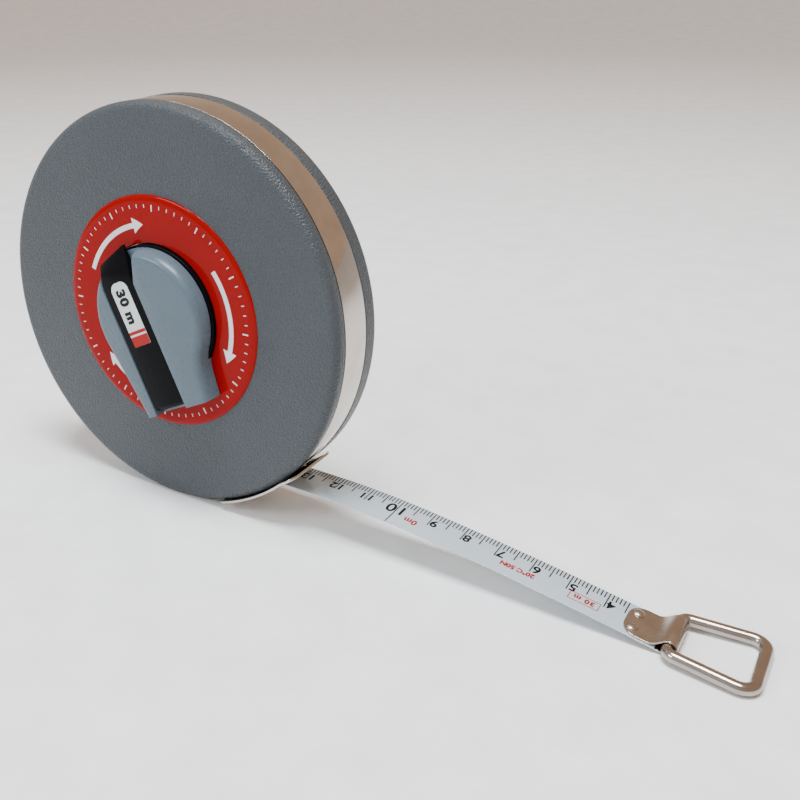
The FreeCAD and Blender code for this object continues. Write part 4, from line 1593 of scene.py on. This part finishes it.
@dataclass
class EndRing:
    """The bent wire ring."""

    space: ClipSpace
    wire_radius: float = 1.6 * MM
    near_gap: float = 0.35 * MM
    near_corner: float = 2.2 * MM
    far_corner: float = 3.4 * MM

    def make(self) -> None:
        """Build the ring."""
        low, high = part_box("end_ring")
        clip_low, clip_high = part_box("end_clip")
        near = (clip_high.y - clip_low.y) / 2 + self.near_gap + self.wire_radius
        far = (high.y - low.y) / 2 - self.wire_radius
        origin = self.space.origin
        drop = origin.z - (low.z + self.wire_radius)
        run = high.x - self.wire_radius - origin.x
        length = math.hypot(run, drop)
        tilt = math.atan2(drop, run)
        outline = rounded([(0.0, -near, self.near_corner), (length, -far, self.far_corner),
                           (length, far, self.far_corner), (0.0, near, self.near_corner)], 12)
        place = Matrix.Translation(origin) @ Matrix.Rotation(tilt, 4, "Y")
        line = [place @ Vector((x, y, 0.0)) for x, y in self.even(outline)]
        dress(wire("wire_ring", line, self.wire_radius), RING_PLATE, Slot.BRIGHT_PLATE, Body.RING,
              "end_ring")

    @staticmethod
    def even(outline: Sequence[tuple[float, float]]) -> list[tuple[float, float]]:
        """Add points on the long straight stretches of an outline.

        Args:
            outline: the closed outline.

        Returns:
            The outline with no stretch much longer than the step.
        """
        points = []
        count = len(outline)
        for index, (x, y) in enumerate(outline):
            after_x, after_y = outline[(index + 1) % count]
            pieces = max(1, int(math.hypot(after_x - x, after_y - y) / RING_STEP))
            for step in range(pieces):
                share = step / pieces
                points.append((x + (after_x - x) * share, y + (after_y - y) * share))
        return points


# ---------------------------------------------------------------- inside pieces
@dataclass
class InnerWorks:
    """The CAD pieces that stay as they are and only take a finish."""

    finishes: dict[str, Leathercloth | Metal | Moulding] = field(default_factory=lambda: {
        "front_shell": PRESSED_STEEL, "back_shell": PRESSED_STEEL, "guide_pins": TURNED_STEEL,
        "bush_retainer": PRESSED_STEEL, "thrust_washer": NYLON, "back_pivot": TURNED_STEEL,
        "spring_washer": PRESSED_STEEL, "drum": DRUM_PLASTIC, "tape_anchor": PRESSED_STEEL,
        "tape_coil": ENAMEL, "crank_screws": TURNED_STEEL, "grip_pin": TURNED_STEEL,
        "tape_lead": ENAMEL,
    })

    def make(self) -> None:
        """Give each its finish."""
        for node, finish in self.finishes.items():
            dress_node(node, finish)


# ---------------------------------------------------------------- studio
@dataclass
class Studio:
    """A pale floor, soft lights and the camera."""

    eye: Vector = field(default_factory=lambda: Vector((0.17925, -0.22201, 0.09642)))
    turn: tuple[float, float, float] = (66.323, 1.024, 34.575)
    lens: float = 43.44
    shift: tuple[float, float] = (0.1626, -0.0304)
    floor_reach: float = 3.0
    floor_rise: float = 0.5
    warm_side: Colour = (0.66, 0.47, 0.34)
    cool_side: Colour = (0.74, 0.78, 0.82)
    toward_warm: Colour = (0.62, 0.70, 0.35)
    warm_from: float = -0.55
    warm_to: float = 0.25
    background_strength: float = 0.95
    aim: Vector = field(default_factory=lambda: Vector((0.05, -0.01, -0.02)))

    def floor(self) -> None:
        """Lay the floor under the case's foot."""
        level = min(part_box("front_cover")[0].z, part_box("end_ring")[0].z) - 0.02 * MM
        build = bmesh.new()
        bmesh.ops.create_grid(build, x_segments=96, y_segments=96, size=self.floor_reach)
        for vert in build.verts:
            out = max(0.0, Vector(vert.co[:2]).length / self.floor_reach - 0.5) * 2
            vert.co.z = self.floor_rise * min(out, 1.0) ** 2
        floor = mesh_piece("floor", build)
        floor.location = (0.0, 0.0, level)
        floor.data.materials.append(RACK.take(FLOOR_PAPER))

    def lamp(self, name: str, spot: Vector, aim: Vector, size: tuple[float, float], power: float,
             colour: Colour = (1.0, 1.0, 1.0)) -> None:
        """Hang one soft rectangular light.

        Args:
            name: the light's name.
            spot: where it hangs.
            aim: the point that it faces.
            size: its width and height.
            power: in watts.
            colour: of its light.
        """
        light = bpy.data.lights.new(name, "AREA")
        light.shape = "RECTANGLE"
        light.size, light.size_y = size
        light.energy = power
        light.color = colour
        holder = bpy.data.objects.new(name, light)
        holder.location = spot
        holder.rotation_mode = "QUATERNION"
        holder.rotation_quaternion = (aim - spot).to_track_quat("-Z", "Y")
        bpy.context.scene.collection.objects.link(holder)

    def lights(self) -> None:
        """Hang the lights and colour the room."""
        self.lamp("ceiling_softbox", Vector((0.08, -0.12, 1.0)), self.aim, (0.5, 0.4), 22.0,
                  (0.90, 0.96, 1.0))
        self.lamp("window", Vector((-0.45, -0.75, 0.55)), self.aim, (0.35, 0.3), 5.5, (0.84, 0.93, 1.0))
        world = bpy.data.worlds.new("room")
        bpy.context.scene.world = world
        world.use_nodes = True
        tree = world.node_tree
        room = tree.nodes["Background"]
        room.inputs["Strength"].default_value = self.background_strength
        around = tree.nodes.new("ShaderNodeTexCoord")
        facing = tree.nodes.new("ShaderNodeVectorMath")
        facing.operation = "DOT_PRODUCT"
        facing.inputs[1].default_value = self.toward_warm
        share = tree.nodes.new("ShaderNodeMapRange")
        share.inputs["From Min"].default_value = self.warm_from
        share.inputs["From Max"].default_value = self.warm_to
        blend = tree.nodes.new("ShaderNodeMix")
        blend.data_type = "RGBA"
        blend.inputs[6].default_value = (*self.cool_side, 1.0)
        blend.inputs[7].default_value = (*self.warm_side, 1.0)
        tree.links.new(around.outputs["Generated"], facing.inputs[0])
        tree.links.new(facing.outputs["Value"], share.inputs["Value"])
        tree.links.new(share.outputs["Result"], blend.inputs[0])
        tree.links.new(blend.outputs[2], room.inputs["Color"])

    def camera(self) -> None:
        """Set the camera up."""
        lens = bpy.data.cameras.new("camera")
        lens.lens = self.lens
        lens.shift_x, lens.shift_y = self.shift
        lens.clip_start = 0.01
        holder = bpy.data.objects.new("camera", lens)
        holder.location = self.eye
        holder.rotation_euler = tuple(math.radians(angle) for angle in self.turn)
        bpy.context.scene.collection.objects.link(holder)
        bpy.context.scene.camera = holder

    def make(self) -> None:
        """Set everything round the object."""
        self.floor()
        self.lights()
        self.camera()


def main() -> None:
    """Build the long tape from the case outwards."""
    logging.basicConfig(level=logging.INFO, format="%(name)s %(message)s")
    covers = CaseCovers()
    covers.make()
    RimBand().make(covers)
    LabelRing().make()
    Collar().make()
    space = CrankSpace()
    WindingCrank(space).make()
    FoldingGrip(space).make()
    GripPlate(space).make()
    line = BladeLine()
    PrintedBlade(line).make()
    MouthGuard().make(covers)
    clip = ClipSpace(line)
    EndClip(clip).make()
    EndRing(clip).make()
    InnerWorks().make()
    Studio().make()


if __name__ == "__main__":
    main()
